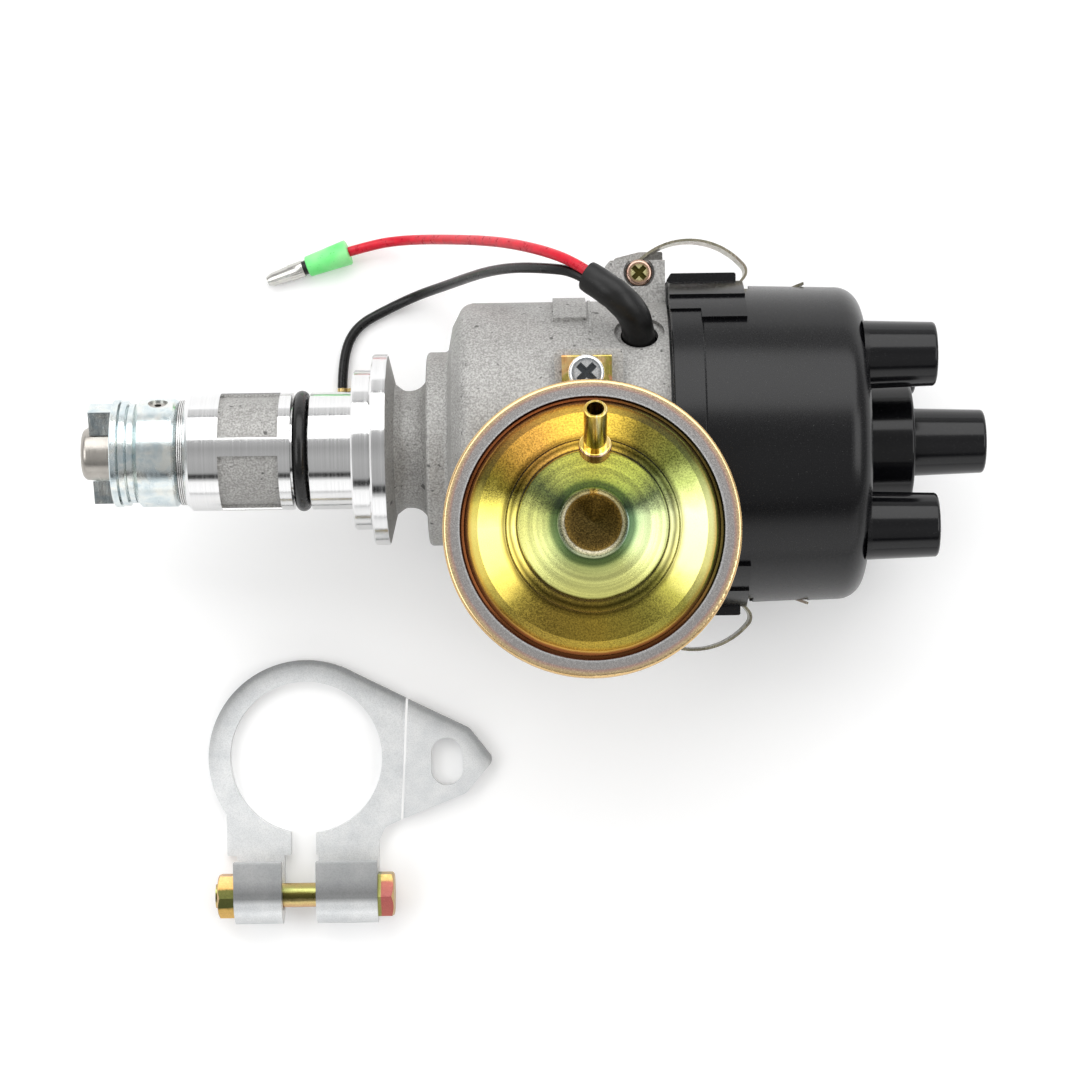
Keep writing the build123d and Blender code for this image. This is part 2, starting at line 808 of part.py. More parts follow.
def make_cam_spindle():
    foot_end_x = foot_start_x + foot_thickness
    spindle = bar(cam_start_x, cam_tube_top_x, cam_tube_radius)
    spindle += bar(foot_start_x, cam_start_x, spindle_foot_radius)
    spindle += bar(foot_start_x, foot_end_x, foot_radius)
    half = cam_across_flats / 2
    cam = block(cam_start_x, cam_end_x, -half, half, -half, half)
    spindle += cam & bar(cam_start_x, cam_end_x, cam_corner_radius)
    for side in (0, 180):
        y, z = polar(spring_inner_radius, spring_inner_angle + side)
        spindle += bar(foot_end_x - 1, spring_level_x + spring_post_top, spring_post_radius, y, z)
    spindle -= bar(foot_start_x - 1, spindle_top_x, spindle_radius + running_clearance)
    spindle -= bar(spindle_top_x - 0.5, cam_tube_top_x + 1, cam_counterbore_radius)
    return spindle


def make_spindle_screw():
    head_end_x = spindle_top_x + spindle_screw_head_height
    half = cross_slot_width / 2
    reach = spindle_screw_head_radius + 1
    head = bar(spindle_top_x, head_end_x, spindle_screw_head_radius)
    head -= block(head_end_x - cross_slot_depth, head_end_x + 1, -half, half, -reach, reach)
    shank = bar(spindle_top_x - spindle_screw_length, spindle_top_x, ledge_screw_radius - seat_clearance)
    return head + shank


def make_trigger_ring():
    """Ring over the four-sided cam, with a pole pocket at each side."""
    half = cam_across_flats / 2 + rotor_bore_clearance
    ring = bar(trigger_start_x, cam_end_x, trigger_radius)
    bore = block(trigger_start_x - 1, cam_end_x + 1, -half, half, -half, half)
    ring -= bore & bar(trigger_start_x - 1, cam_end_x + 1, cam_corner_radius + rotor_bore_clearance)
    for index in range(4):
        y, z = polar(trigger_notch_ring_radius, 45 + 90 * index)
        ring -= bar(trigger_start_x - 1, cam_end_x + 1, trigger_notch_radius, y, z)
    return ring


def make_rotor_arm():
    seat_x = cam_end_x + rotor_seat_gap
    hub = turned(
        (seat_x, 0, 0),
        (seat_x, rotor_hub_radius + rotor_skirt, rotor_edge),
        (seat_x + rotor_skirt_width, rotor_hub_radius + rotor_skirt, rotor_edge),
        (seat_x + rotor_skirt_width + rotor_skirt, rotor_hub_radius, 0),
        (rotor_hub_end_x, rotor_hub_radius, 0),
        (rotor_top_x, rotor_hub_radius - rotor_edge, rotor_edge),
        (rotor_top_x, 0, 0),
    )
    half = rotor_arm_width / 2
    arm = block(rotor_hub_end_x, rotor_top_x, 0, rotor_arm_reach, -half, half)
    arm = fillet(arm.edges().filter_by(Axis.X).sort_by(Axis.Y)[-2:], rotor_skirt)
    rib_reach = (rotor_hub_radius + rotor_arm_reach) / 2
    half = rotor_rib_width / 2
    rib = block(rotor_hub_end_x - rotor_rib_length, rotor_hub_end_x, 0, rib_reach, -half, half)
    rotor = hub + arm + rib
    rotor -= bar(seat_x - 1, cam_tube_top_x + rotor_bore_clearance, cam_tube_radius + rotor_bore_clearance)
    return rotor


def make_rotor_contact():
    """Brass blade on the rotor, with the sprung leaf that the carbon brush rubs on."""
    reach = tower_ring_radius - post_radius - blade_tip_gap
    half = blade_width / 2
    blade = block(rotor_top_x, rotor_top_x + blade_thickness, -blade_tail, reach, -half, half)
    blade &= bar(rotor_top_x, rotor_top_x + blade_thickness, reach)
    leaf_start_x = rotor_top_x + blade_thickness / 2
    return blade + bar(leaf_start_x, leaf_start_x + contact_height, contact_leaf_radius)


def make_ledge_plate():
    radius = bowl_inner_radius - ledge_plate_clearance
    end_x = plate_ledge_x + ledge_plate_thickness
    plate = bar(plate_ledge_x, end_x, radius)
    plate += bar(end_x, end_x + collar_height, collar_radius)
    plate -= bar(plate_ledge_x - 1, end_x + collar_height + 1, collar_bore_radius)
    for angle in ledge_screw_angles:
        y, z = polar(ledge_screw_ring_radius, angle)
        plate -= bar(plate_ledge_x - 1, end_x + 1, ledge_screw_radius + bracket_hole_clearance, y, z)
    return plate


def make_ledge_screws():
    screws = []
    for angle in ledge_screw_angles:
        y, z = polar(ledge_screw_ring_radius, angle)
        head = Rot(0, 90, 0) * cross_head(ledge_screw_head_radius, ledge_screw_head_height)
        head = Pos(plate_ledge_x + ledge_plate_thickness, y, z) * head
        start_x = plate_ledge_x - ledge_screw_length + 1
        end_x = plate_ledge_x + ledge_plate_thickness
        screws.append(head + bar(start_x, end_x, ledge_screw_radius - seat_clearance, y, z))
    return screws


def make_pickup_plate():
    end_x = module_start_x
    plate = bar(pickup_plate_x, end_x, pickup_plate_radius)
    plate -= bar(pickup_plate_x - 1, end_x + 1, collar_radius + running_clearance)
    for angle in ledge_screw_angles:
        y, z = polar(ledge_screw_ring_radius, angle)
        plate -= bar(pickup_plate_x - 1, end_x + 1, ledge_relief_radius, y, z)
    peg_end_x = canister_x + eye_thickness / 2 + 1
    return plate + bar(end_x - 1, peg_end_x, peg_radius, rod_eye_y, 0)


def make_pickup_module():
    end_x = module_start_x + module_height
    body = sector(
        module_start_x, end_x, module_inner_radius, module_outer_radius, -module_half_angle, module_half_angle
    )
    return fillet(body.edges().filter_by(Axis.X), module_corner)


def make_cap():
    seat_radius = bowl_inner_radius + cap_seat_width
    spigot_radius = bowl_inner_radius - cap_spigot_clearance
    spigot_x = bowl_end_x - cap_spigot_length
    rim_x = bowl_end_x + cap_shadow_gap
    shell = turned(
        (spigot_x, 0, 0),
        (spigot_x, spigot_radius, 0),
        (bowl_end_x, spigot_radius, 0),
        (bowl_end_x, seat_radius, 0),
        (rim_x, seat_radius, 0),
        (rim_x, cap_band_radius, cap_band_round),
        (cap_band_end_x, cap_band_radius, cap_band_round / 2),
        (cap_band_end_x + cap_band_radius - cap_radius, cap_radius, 0),
        (pad_end_x, cap_radius, 0),
        (cap_end_x, cap_end_radius, cap_end_round),
        (cap_end_x, centre_base_radius, tower_edge),
        (centre_base_end_x, centre_base_radius, tower_edge),
        (centre_base_end_x, centre_tower_base_radius, tower_edge),
        (centre_tower_end_x, centre_tower_tip_radius, tower_edge),
        (centre_tower_end_x, 0, 0),
    )
    for angle in tower_angles:
        tower = turned(
            (cap_end_x - 1, 0, 0),
            (cap_end_x - 1, tower_base_radius, 0),
            (tower_end_x, tower_tip_radius, tower_edge),
            (tower_end_x, 0, 0),
        )
        shell += Pos(0, *polar(tower_ring_radius, angle)) * tower
    for angle in clip_angles:
        shell += about_shaft(make_clip_pad(rim_x), angle)

    inner_radius = cap_radius - cap_wall
    shell -= turned(
        (spigot_x - 1, 0, 0),
        (spigot_x - 1, spigot_radius - cap_spigot_wall, 0),
        (bowl_end_x + cap_spigot_length, spigot_radius - cap_spigot_wall, 0),
        (bowl_end_x + 2 * cap_spigot_length, inner_radius, 0),
        (cap_inner_end_x, cap_end_radius - cap_wall, cap_wall),
        (cap_inner_end_x, 0, 0),
    )
    for angle in tower_angles:
        y, z = polar(tower_ring_radius, angle)
        shell += bar(post_end_x + post_bare_length, cap_inner_end_x + 1, post_radius + post_boss_wall, y, z)
    shell += bar(brush_boss_end_x, cap_inner_end_x + 1, brush_radius + brush_boss_wall)
    for angle in tower_angles:
        y, z = polar(tower_ring_radius, angle)
        shell -= bar(post_end_x, cap_end_x, post_radius + seat_clearance, y, z)
        shell -= make_socket(tower_end_x, y, z)
    shell -= bar(brush_boss_end_x - 1, cap_end_x + centre_post_start, brush_radius + brush_clearance)
    cup_start_x = centre_tower_end_x - socket_depth - cup_length
    shell -= bar(cap_end_x + centre_post_start - 1, cup_start_x + 1, post_radius + seat_clearance)
    shell -= make_socket(centre_tower_end_x)
    for angle in clip_angles:
        shell -= about_shaft(make_hook_cuts(), angle)
    return shell


def make_socket(end_x, y=0, z=0):
    """Socket for a lead's end, with a narrower seat behind it for the brass cup."""
    seat_end_x = end_x - socket_depth
    seat = bar(seat_end_x - cup_length, seat_end_x, cup_radius + seat_clearance, y, z)
    return seat + bar(seat_end_x, end_x + 1, socket_radius, y, z)


def make_hook_cuts():
    """Pocket across the pad's outer edge, and the channel that a clip's tail lies in."""
    reach = cap_band_radius
    pocket = block(
        pad_end_x, pad_end_x + hook_pocket_width, cap_radius - hook_pocket_depth, reach + 1, -reach, reach
    )
    channel = block(
        pad_end_x - hook_channel_setback, pad_end_x + clip_tail_tip[0] + hook_channel_overrun,
        cap_radius - hook_channel_depth, pad_top_y + 1, -lug_slot_half_width, lug_slot_half_width,
    )
    return pocket + channel


def make_clip_pad(rim_x):
    """Thickened side of the cap that a clip presses on, with a fence at each side of the clip."""
    inner = cap_radius - cap_wall / 2
    pad = sector(rim_x, pad_end_x, inner, pad_radius, -pad_half_angle, pad_half_angle)
    pad += sector(
        cap_band_end_x, pad_end_x, inner, pad_skirt_radius, -pad_skirt_half_angle, pad_skirt_half_angle
    )
    pad += sector(
        rim_x, cap_band_end_x + 0.1, inner, pad_skirt_radius, -pad_band_half_angle, pad_band_half_angle
    )
    pad &= block(rim_x, pad_end_x, 0, pad_top_y, -pad_radius, pad_radius)
    fence = outline(
        (rim_x, pad_top_y - 1, 0),
        (rim_x, fence_top_y - fence_slant[1], 0),
        (rim_x + fence_slant[0], fence_top_y, fence_round),
        (fence_end_x, fence_top_y, fence_round),
        (fence_end_x, pad_top_y - 1, 0),
    )
    for start_z in (fence_inner_z, -fence_inner_z - fence_thickness):
        pad += Pos(0, 0, start_z) * extrude(fence, fence_thickness)
    return pad


def make_side_terminals():
    """Brass posts in the cap, one to each outer tower, with a cup at the foot of its socket."""
    return [
        make_terminal(post_end_x, tower_end_x, *polar(tower_ring_radius, angle)) for angle in tower_angles
    ]


def make_centre_terminal():
    return make_terminal(cap_end_x + centre_post_start, centre_tower_end_x)


def make_terminal(start_x, socket_end_x, y=0, z=0):
    cup_end_x = socket_end_x - socket_depth
    cup_start_x = cup_end_x - cup_length
    terminal = bar(start_x, cup_start_x, post_radius, y, z)
    terminal += bar(cup_start_x, cup_end_x, cup_radius, y, z)
    return terminal - bar(cup_start_x + cup_wall, cup_end_x + 1, cup_radius - cup_wall, y, z)


def brush_tip_x():
    return rotor_top_x + blade_thickness / 2 + contact_height + brush_clearance


def make_carbon_brush():
    start_x = brush_tip_x()
    return turned(
        (start_x, 0, 0),
        (start_x, brush_radius, brush_radius / 2),
        (start_x + brush_length, brush_radius, 0),
        (start_x + brush_length, 0, 0),
    )


def make_brush_spring():
    start_x = brush_tip_x() + brush_length
    end_x = cap_end_x + centre_post_start
    return bar(start_x, end_x, brush_radius) - bar(start_x - 1, end_x + 1, brush_radius - brush_spring_wall)


def canister_profile(inset):
    """Outline of the domed cover, its sheet's outside or, inset by the sheet, its inside."""
    steps = []
    for share, height in dome_steps:
        steps.append((canister_radius * share - inset * dome_inset_ratio, height - inset, 0))
    top = dome_boss_top - inset
    boss = [
        (dome_boss_radius - inset, steps[-1][1] + dome_boss_rise, 0),
        (dome_boss_radius - inset, top - dome_boss_edge, 0),
        (dome_boss_radius - inset - dome_boss_edge, top, 0),
        (0, top, 0),
    ]
    return steps + boss


def make_front_cover():
    cover = spun(
        (0, 0, 0),
        (canister_radius, 0, 0),
        (canister_radius, crimp_height, crimp_round),
        (crimp_inner_radius, crimp_height, 0),
        (crimp_inner_radius - crimp_groove, crimp_height - crimp_groove, 0),
        *canister_profile(0),
    )
    inside = spun(
        (0, -1, 0),
        (canister_radius * dome_steps[0][0] - sheet / 2, -1, 0),
        *canister_profile(sheet),
    )
    skirt = spun(
        (canister_radius - crimp_wall, -crimp_depth + crimp_wall, 0),
        (canister_radius - crimp_wall, 0, 0),
        (canister_radius, 0, 0),
        (canister_radius, -crimp_depth, crimp_round),
        (crimp_inner_radius + crimp_lip, -crimp_depth, 0),
        (crimp_inner_radius + crimp_lip, -crimp_depth + crimp_wall, 0),
    )
    cover = canister_place * (cover - inside + skirt)
    return cover - make_nozzle(solid=True)


def make_back_cover():
    """Pan behind the diaphragm, held in the cover's crimp, with a hole for the rod."""
    top = -diaphragm_thickness
    flange_radius_outer = canister_radius - crimp_wall - seat_clearance
    flange_bottom = -crimp_depth + crimp_wall
    pan = spun(
        (0, top, 0),
        (flange_radius_outer, top, 0),
        (flange_radius_outer, flange_bottom, 0),
        (pan_top_radius, flange_bottom, 0),
        (pan_floor_radius, -pan_depth, 1.5 * sheet),
        (0, -pan_depth, 0),
    )
    pan -= spun(
        (0, top + 1, 0),
        (pan_top_radius - sheet, top + 1, 0),
        (pan_top_radius - sheet, flange_bottom, 0),
        (pan_floor_radius - sheet, -pan_depth + sheet, sheet),
        (0, -pan_depth + sheet, 0),
    )
    return canister_place * (pan - Cylinder(pan_hole_radius, 4 * pan_depth))


def make_diaphragm():
    """Rubber disc clamped under the crimp, with a hole that the rod's cup fills."""
    outer = canister_radius - crimp_wall - seat_clearance
    disc = Pos(0, 0, -diaphragm_thickness / 2) * Cylinder(outer, diaphragm_thickness)
    hole = Cylinder(rod_cup_radius + rod_cup_clearance, 4 * diaphragm_thickness)
    return canister_place * (disc - hole)


def make_vacuum_rod():
    """Pull rod with the diaphragm's cup at one end and an eye for the pickup plate's peg."""
    cup = Pos(0, 0, -diaphragm_thickness / 2) * Cylinder(rod_cup_radius, rod_cup_thickness)
    length = rod_eye_depth - eye_radius + 1
    rod = Pos(0, 0, -length / 2) * Cylinder(rod_radius, length)
    eye = Pos(0, 0, -rod_eye_depth) * Rot(0, 90, 0) * Cylinder(eye_radius, eye_thickness)
    hole = Pos(0, 0, -rod_eye_depth) * Rot(0, 90, 0) * Cylinder(peg_radius + eye_clearance, 4 * eye_thickness)
    return canister_place * (cup + rod + eye - hole)


def make_vacuum_spring():
    """Return spring that stands on the rod's cup, short of the cover by the rod's travel."""
    start = rod_cup_thickness / 2 - diaphragm_thickness / 2 + vacuum_spring_wire
    top = dome_steps[-1][1] - sheet - vacuum_travel - 2 * vacuum_spring_wire
    pitch = (top - start) / vacuum_spring_turns
    coil = Pos(0, 0, start) * Helix(pitch, top - start, vacuum_spring_radius)
    section = Plane(origin=coil @ 0, z_dir=coil % 0) * Circle(vacuum_spring_wire)
    return canister_place * sweep(section, path=coil)


def make_nozzle(solid=False):
    place = Pos(canister_x, canister_y, canister_z) * Pos(*nozzle_offset) * Rot(-nozzle_tilt, 0, 0)
    body = spun(
        (0, -nozzle_root, 0),
        (nozzle_radius, -nozzle_root, 0),
        (nozzle_radius, -nozzle_collar_seat, 0),
        (nozzle_collar_radius, -nozzle_collar_seat, 0),
        (nozzle_collar_radius, nozzle_collar_length - nozzle_collar_seat, nozzle_round),
        (nozzle_radius, nozzle_collar_length - nozzle_collar_seat, 0),
        (nozzle_radius, nozzle_length, nozzle_round / 2),
        (0, nozzle_length, 0),
    )
    if not solid:
        body -= Cylinder(nozzle_bore_radius, 4 * nozzle_length)
    return place * body


def make_bracket():
    """Sheet bracket: a flat tab on the housing's facing, stepped up to a saddle under the pan."""
    saddle_top = -pan_depth
    rise_end_y = bracket_bend_y - bracket_rise_run
    rise = (canister_z + saddle_top) - (rise_end_y - canister_y) * math.tan(tilt)
    low = facing_z + bracket_thickness
    strip = Plane.YZ * outline(
        (bracket_end_y, facing_z, 0),
        (bracket_end_y, low, edge_chamfer),
        (bracket_bend_y + bracket_thickness / 2, low, 0),
        (rise_end_y + bracket_thickness / 2, rise, 0),
        (rise_end_y - bracket_rise_run, rise, 0),
        (rise_end_y - bracket_rise_run, rise - bracket_thickness, 0),
        (rise_end_y, rise - bracket_thickness, 0),
        (bracket_bend_y, facing_z, 0),
    )
    bracket = Pos(bracket_start_x, 0, 0) * extrude(strip, bracket_end_x - bracket_start_x)
    above = Pos(0, 0, saddle_top + canister_radius / 2) * Cylinder(canister_radius, canister_radius)
    bracket -= canister_place * above
    saddle = Pos(0, 0, saddle_top - bracket_thickness / 2) * Cylinder(saddle_radius, bracket_thickness)
    saddle -= Pos(0, 0, saddle_top) * Cylinder(pan_hole_radius, 6)
    bracket += canister_place * saddle
    for y in bracket_screw_ys:
        hole = Cylinder(bracket_screw_radius + bracket_hole_clearance, 4 * bracket_thickness)
        bracket -= Pos(bracket_screw_x, y, low) * hole
    return bracket


def make_bracket_screws():
    screws = []
    head_z = facing_z + bracket_thickness
    for y in bracket_screw_ys:
        head = cross_head(bracket_screw_head_radius, bracket_screw_head_height)
        shank = Pos(0, 0, -bracket_screw_length / 2) * Cylinder(
            bracket_screw_radius - seat_clearance, bracket_screw_length
        )
        screws.append(Pos(bracket_screw_x, y, head_z) * (head + shank))
    return screws


def make_spring_clip(angle):
    """Bowed strip that leaves its eye on a tangent and hooks into the channel behind the pad."""
    corners = [
        (pad_end_x + x, cap_radius + y)
        for x, y in (clip_bow, clip_shoulder, clip_hook, clip_tail_bend, clip_tail_tip)
    ]
    along, up = corners[0][0] - pivot_x, corners[0][1] - pivot_y
    leaf_angle = math.atan2(up, along) + math.acos(clip_eye_radius / math.hypot(along, up))
    across, rise = polar(clip_eye_radius, math.degrees(leaf_angle))
    path = FilletPolyline((pivot_x + across, pivot_y + rise), *corners, radius=clip_bend_radii)
    start_plane = Plane(origin=path @ 0, x_dir=(0, 0, 1), z_dir=path % 0)
    clip = sweep(start_plane * Rectangle(clip_width, clip_thickness), path=path)
    clip += Pos(pivot_x, pivot_y) * Cylinder(clip_eye_radius + clip_thickness / 2, clip_width)
    clip -= Pos(pivot_x, pivot_y) * Cylinder(pivot_radius + pivot_clearance, 2 * clip_width)
    return about_shaft(clip, angle)


def make_pivot_screw(angle):
    head = Pos(0, 0, lug_half_width - pivot_head_height) * cross_head(pivot_head_radius, pivot_head_height)
    length = 2 * lug_half_width - pivot_head_height
    pin = Pos(0, 0, -pivot_head_height / 2) * Cylinder(pivot_radius - seat_clearance, length)
    return about_shaft(Pos(pivot_x, pivot_y) * (head + pin), angle)


def tube_along(route, radius, name):
    """Round tube through the points, each corner as large an arc as its two runs allow."""
    points = [Vector(*point) for point in route]
    radii = []
    for before, corner, after in zip(points, points[1:], points[2:]):
        turn = (corner - before).get_angle(after - corner)
        shorter = min((corner - before).length, (after - corner).length)
        radii.append(0.45 * shorter / math.tan(math.radians(turn) / 2))
    path = FilletPolyline(*points, radius=radii)
    tube = sweep(Plane(origin=path @ 0, z_dir=path % 0) * Circle(radius), path=path)
    expected = math.pi * radius**2 * path.length
    print(name, "radii", [round(r, 1) for r in radii], "length", round(path.length, 1),
          "volume ratio", round(tube.volume / expected, 4))
    return tube


def wire_start(side):
    """Where a wire leaves the sleeve's end, one wire each side of its centre."""
    end = Vector(*sleeve_route[-1])
    onward = (end - Vector(*sleeve_route[-2])).normalized()
    return tuple(end + Vector(*wire_pair_offset) * side + onward * wire_end_gap)


def make_flag_terminal():
    """Crimp barrel in line with the wire, and a flat blade square to it."""
    x, y, z = flag_start
    y -= wire_end_gap
    end_x = x + flag_blade_length
    far_y = y - flag_blade_width
    half = flag_blade_thickness / 2
    barrel = Rot(90, 0, 0) * Cylinder(flag_barrel_radius, flag_barrel_length)
    terminal = Pos(x, y - flag_barrel_length / 2, z) * barrel
    terminal += block(x, end_x, far_y, y, z - half, z + half)
    for edge_y in (far_y, y - flag_curl_width):
        terminal += block(
            x + flag_curl_start, end_x, edge_y, edge_y + flag_curl_width, z - half, z + flag_curl_height
        )
    return terminal


def bullet_axis():
    return Plane(origin=bullet_start, z_dir=bullet_direction)


def make_bullet_sleeve():
    wide, narrow = bullet_sleeve_radii
    length = bullet_sleeve_length
    return bullet_axis() * spun(
        (0, wire_end_gap, 0),
        (wide, wire_end_gap, bullet_round),
        (narrow, length, bullet_round),
        (0, length, 0),
    )


def make_bullet_terminal():
    start = bullet_sleeve_length
    end = start + bullet_length
    return bullet_axis() * spun(
        (0, start, 0),
        (bullet_radius, start, 0),
        (bullet_radius, start + bullet_collar_length, bullet_round / 2),
        (bullet_neck_radius, start + bullet_collar_length, 0),
        (bullet_tip_radius + bullet_round, end - bullet_round, 0),
        (bullet_tip_radius, end, 0),
        (0, end, 0),
    )


def make_clamp_plate():
    """Split clamp with ears rolled over the pinch bolt and a slotted, slightly raised arm."""
    ring = extrude(Circle(clamp_outer_radius), clamp_thickness)
    inner_y = -clamp_bore_radius / 2
    cheeks = block(left_cheek_x, right_cheek_x - clamp_thickness, ear_start_y, inner_y, 0, clamp_thickness)
    arm = extrude(outline(*arm_outline), clamp_thickness)
    reach = 3 * clamp_outer_radius
    half = arm_joggle_width / 2
    low = arm & block(-reach, arm_joggle_x + half, -reach, reach, 0, clamp_thickness)
    high = arm & block(arm_joggle_x - half, reach, -reach, reach, 0, clamp_thickness)
    plate = ring + cheeks + low + Pos(0, 0, arm_joggle_height) * high
    plate -= Cylinder(clamp_bore_radius, 8 * clamp_thickness)
    plate -= block(clamp_slit_left_x, clamp_slit_right_x, ear_start_y - 1, 0, -1, clamp_thickness + 1)
    slot = SlotOverall(slot_length, slot_width)
    plate -= Pos(slot_x, slot_y, -1) * extrude(Rot(0, 0, 90) * slot, 4 * clamp_thickness)
    ear_radius = ear_bore_radius + clamp_thickness
    top = 2 * ear_radius
    for start_x, end_x in ear_spans:
        ear = bar(start_x, end_x, ear_radius, ear_axis_y, ear_radius)
        ear += block(start_x, end_x, ear_axis_y, ear_start_y, 0, clamp_thickness)
        ear += block(start_x, end_x, ear_axis_y, ear_axis_y + ear_flap, top - clamp_thickness, top)
        ear -= bar(start_x - 1, end_x + 1, ear_bore_radius, ear_axis_y, ear_radius)
        ear -= block(
            start_x - 1, end_x + 1, ear_axis_y, ear_axis_y + 2 * ear_flap,
            clamp_thickness, top - clamp_thickness,
        )
        plate += ear
    return Pos(clamp_x, clamp_y, surface_z) * plate


def clamp_bolt_place(x):
    ear_radius = ear_bore_radius + clamp_thickness
    return Pos(clamp_x + x, clamp_y + ear_axis_y, surface_z + ear_radius) * Rot(0, 90, 0)


def make_clamp_bolt():
    head_x = ear_spans[1][1]
    nut_x = ear_spans[0][0]
    length = head_x - nut_x + nut_height + nut_overhang
    bolt = clamp_bolt_place(head_x) * hexagon(hexagon_across_flats, bolt_head_height)
    shank = clamp_bolt_place(head_x) * Pos(0, 0, -length / 2) * Cylinder(clamp_bolt_radius, length)
    return bolt + shank


def make_clamp_nut():
    nut = hexagon(hexagon_across_flats, nut_height)
    nut -= Cylinder(clamp_bolt_radius + seat_clearance, 4 * nut_height)
    return clamp_bolt_place(ear_spans[0][0]) * Rot(180, 0, 0) * nut


os.makedirs("parts", exist_ok=True)

save("housing", make_housing())
save("lower_bush", make_bush(shank_end_x + bush_inset, lower_bush_length))
save("upper_bush", make_bush(well_floor_x - bush_inset - upper_bush_length, upper_bush_length))
save("shank_seal", make_shank_seal())
save("drive_shaft", make_drive_shaft())
save("drive_dog", make_drive_dog())
save("dog_pin", make_dog_pin())
save("thrust_washers", *make_thrust_washers())
save("action_plate", make_action_plate())
save("flyweight_a", make_flyweight(0))
save("flyweight_b", make_flyweight(180))
save("weight_springs", make_weight_spring(0), make_weight_spring(180))
save("cam_spindle", make_cam_spindle())
save("spindle_screw", make_spindle_screw())
save("trigger_ring", make_trigger_ring())
save("rotor_arm", make_rotor_arm())
save("rotor_contact", make_rotor_contact())
save("ledge_plate", make_ledge_plate())
save("ledge_screws", *make_ledge_screws())
save("pickup_plate", make_pickup_plate())
save("pickup_module", make_pickup_module())
save("cap", make_cap())
save("side_terminals", *make_side_terminals())
save("centre_terminal", make_centre_terminal())
save("carbon_brush", make_carbon_brush())
save("brush_spring", make_brush_spring())
save("vacuum_front_cover", make_front_cover())
save("vacuum_back_cover", make_back_cover())
save("vacuum_diaphragm", make_diaphragm())
save("vacuum_rod", make_vacuum_rod())
save("vacuum_spring", make_vacuum_spring())
save("vacuum_nozzle", make_nozzle())
save("vacuum_bracket", make_bracket())
save("bracket_screws", *make_bracket_screws())
save("top_clip", make_spring_clip(clip_angles[0]))
save("bottom_clip", make_spring_clip(clip_angles[1]))
save("top_pivot_screw", make_pivot_screw(clip_angles[0]))
save("bottom_pivot_screw", make_pivot_screw(clip_angles[1]))
save("wire_sleeve", tube_along(sleeve_route, sleeve_radius, "wire_sleeve"))
save("red_wire", tube_along((wire_start(1), *red_route, bullet_start), wire_radius, "red_wire"))
save("black_wire", tube_along((wire_start(-1), *black_route, flag_start), wire_radius, "black_wire"))
save("bullet_sleeve", make_bullet_sleeve())
save("bullet_terminal", make_bullet_terminal())
save("flag_terminal", make_flag_terminal())
save("clamp_plate", make_clamp_plate())
save("clamp_bolt", make_clamp_bolt())
save("clamp_nut", make_clamp_nut())
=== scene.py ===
import json
import math

import bmesh
import bpy
from mathutils import Matrix, Vector


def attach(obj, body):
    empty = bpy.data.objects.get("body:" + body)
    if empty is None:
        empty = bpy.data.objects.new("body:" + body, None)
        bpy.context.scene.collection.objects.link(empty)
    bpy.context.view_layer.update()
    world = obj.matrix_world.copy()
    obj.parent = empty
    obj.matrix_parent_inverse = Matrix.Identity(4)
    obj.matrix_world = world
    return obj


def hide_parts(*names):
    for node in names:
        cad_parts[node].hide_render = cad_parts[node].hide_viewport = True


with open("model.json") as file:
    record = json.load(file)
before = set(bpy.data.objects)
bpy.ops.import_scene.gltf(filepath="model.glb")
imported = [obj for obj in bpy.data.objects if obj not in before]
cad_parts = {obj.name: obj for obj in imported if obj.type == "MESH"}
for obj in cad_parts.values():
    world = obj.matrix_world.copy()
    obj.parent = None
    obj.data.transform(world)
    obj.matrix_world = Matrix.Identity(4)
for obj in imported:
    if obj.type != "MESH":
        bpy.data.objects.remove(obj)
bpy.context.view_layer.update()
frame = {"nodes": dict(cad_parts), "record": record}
NODES = frame["nodes"]
MM = 0.001

# Lengths are in millimetres but for the floor, the studio and the lights, which are in metres.

# Camera: it looks straight down, turned a little about its own axis
CAMERA_X, CAMERA_Y, CAMERA_HEIGHT = 42.23, -21.25, 680.0
CAMERA_ROLL = -0.01445
CAMERA_LENS = 98.6

# Floor: the height of the surface the part lies on, the floor's half size, its place and its drop below that
# surface, the light it adds for the camera, and the distances over which it turns plain white
SURFACE_Z = -36.8
FLOOR_HALF = 3.0
FLOOR_PLACE = (0.04, -0.02)
FLOOR_DROP = 0.0001
FLOOR_LIFT = 0.12
FLOOR_FADE = (0.36, 1.1)

# Studio: its brightness by the angle across the shaft, in degrees from straight up, and where its lights aim
STUDIO_BANDS = (
    (-90, 0.8), (-57, 0.7), (-54, 0.03), (-47, 0.03), (-43, 0.46), (-15, 0.50), (5, 0.40), (18, 0.5),
    (69, 0.5), (71, 0.08), (75, 0.7), (90, 0.85),
)
AIM = (0.045, -0.01, 0.0)

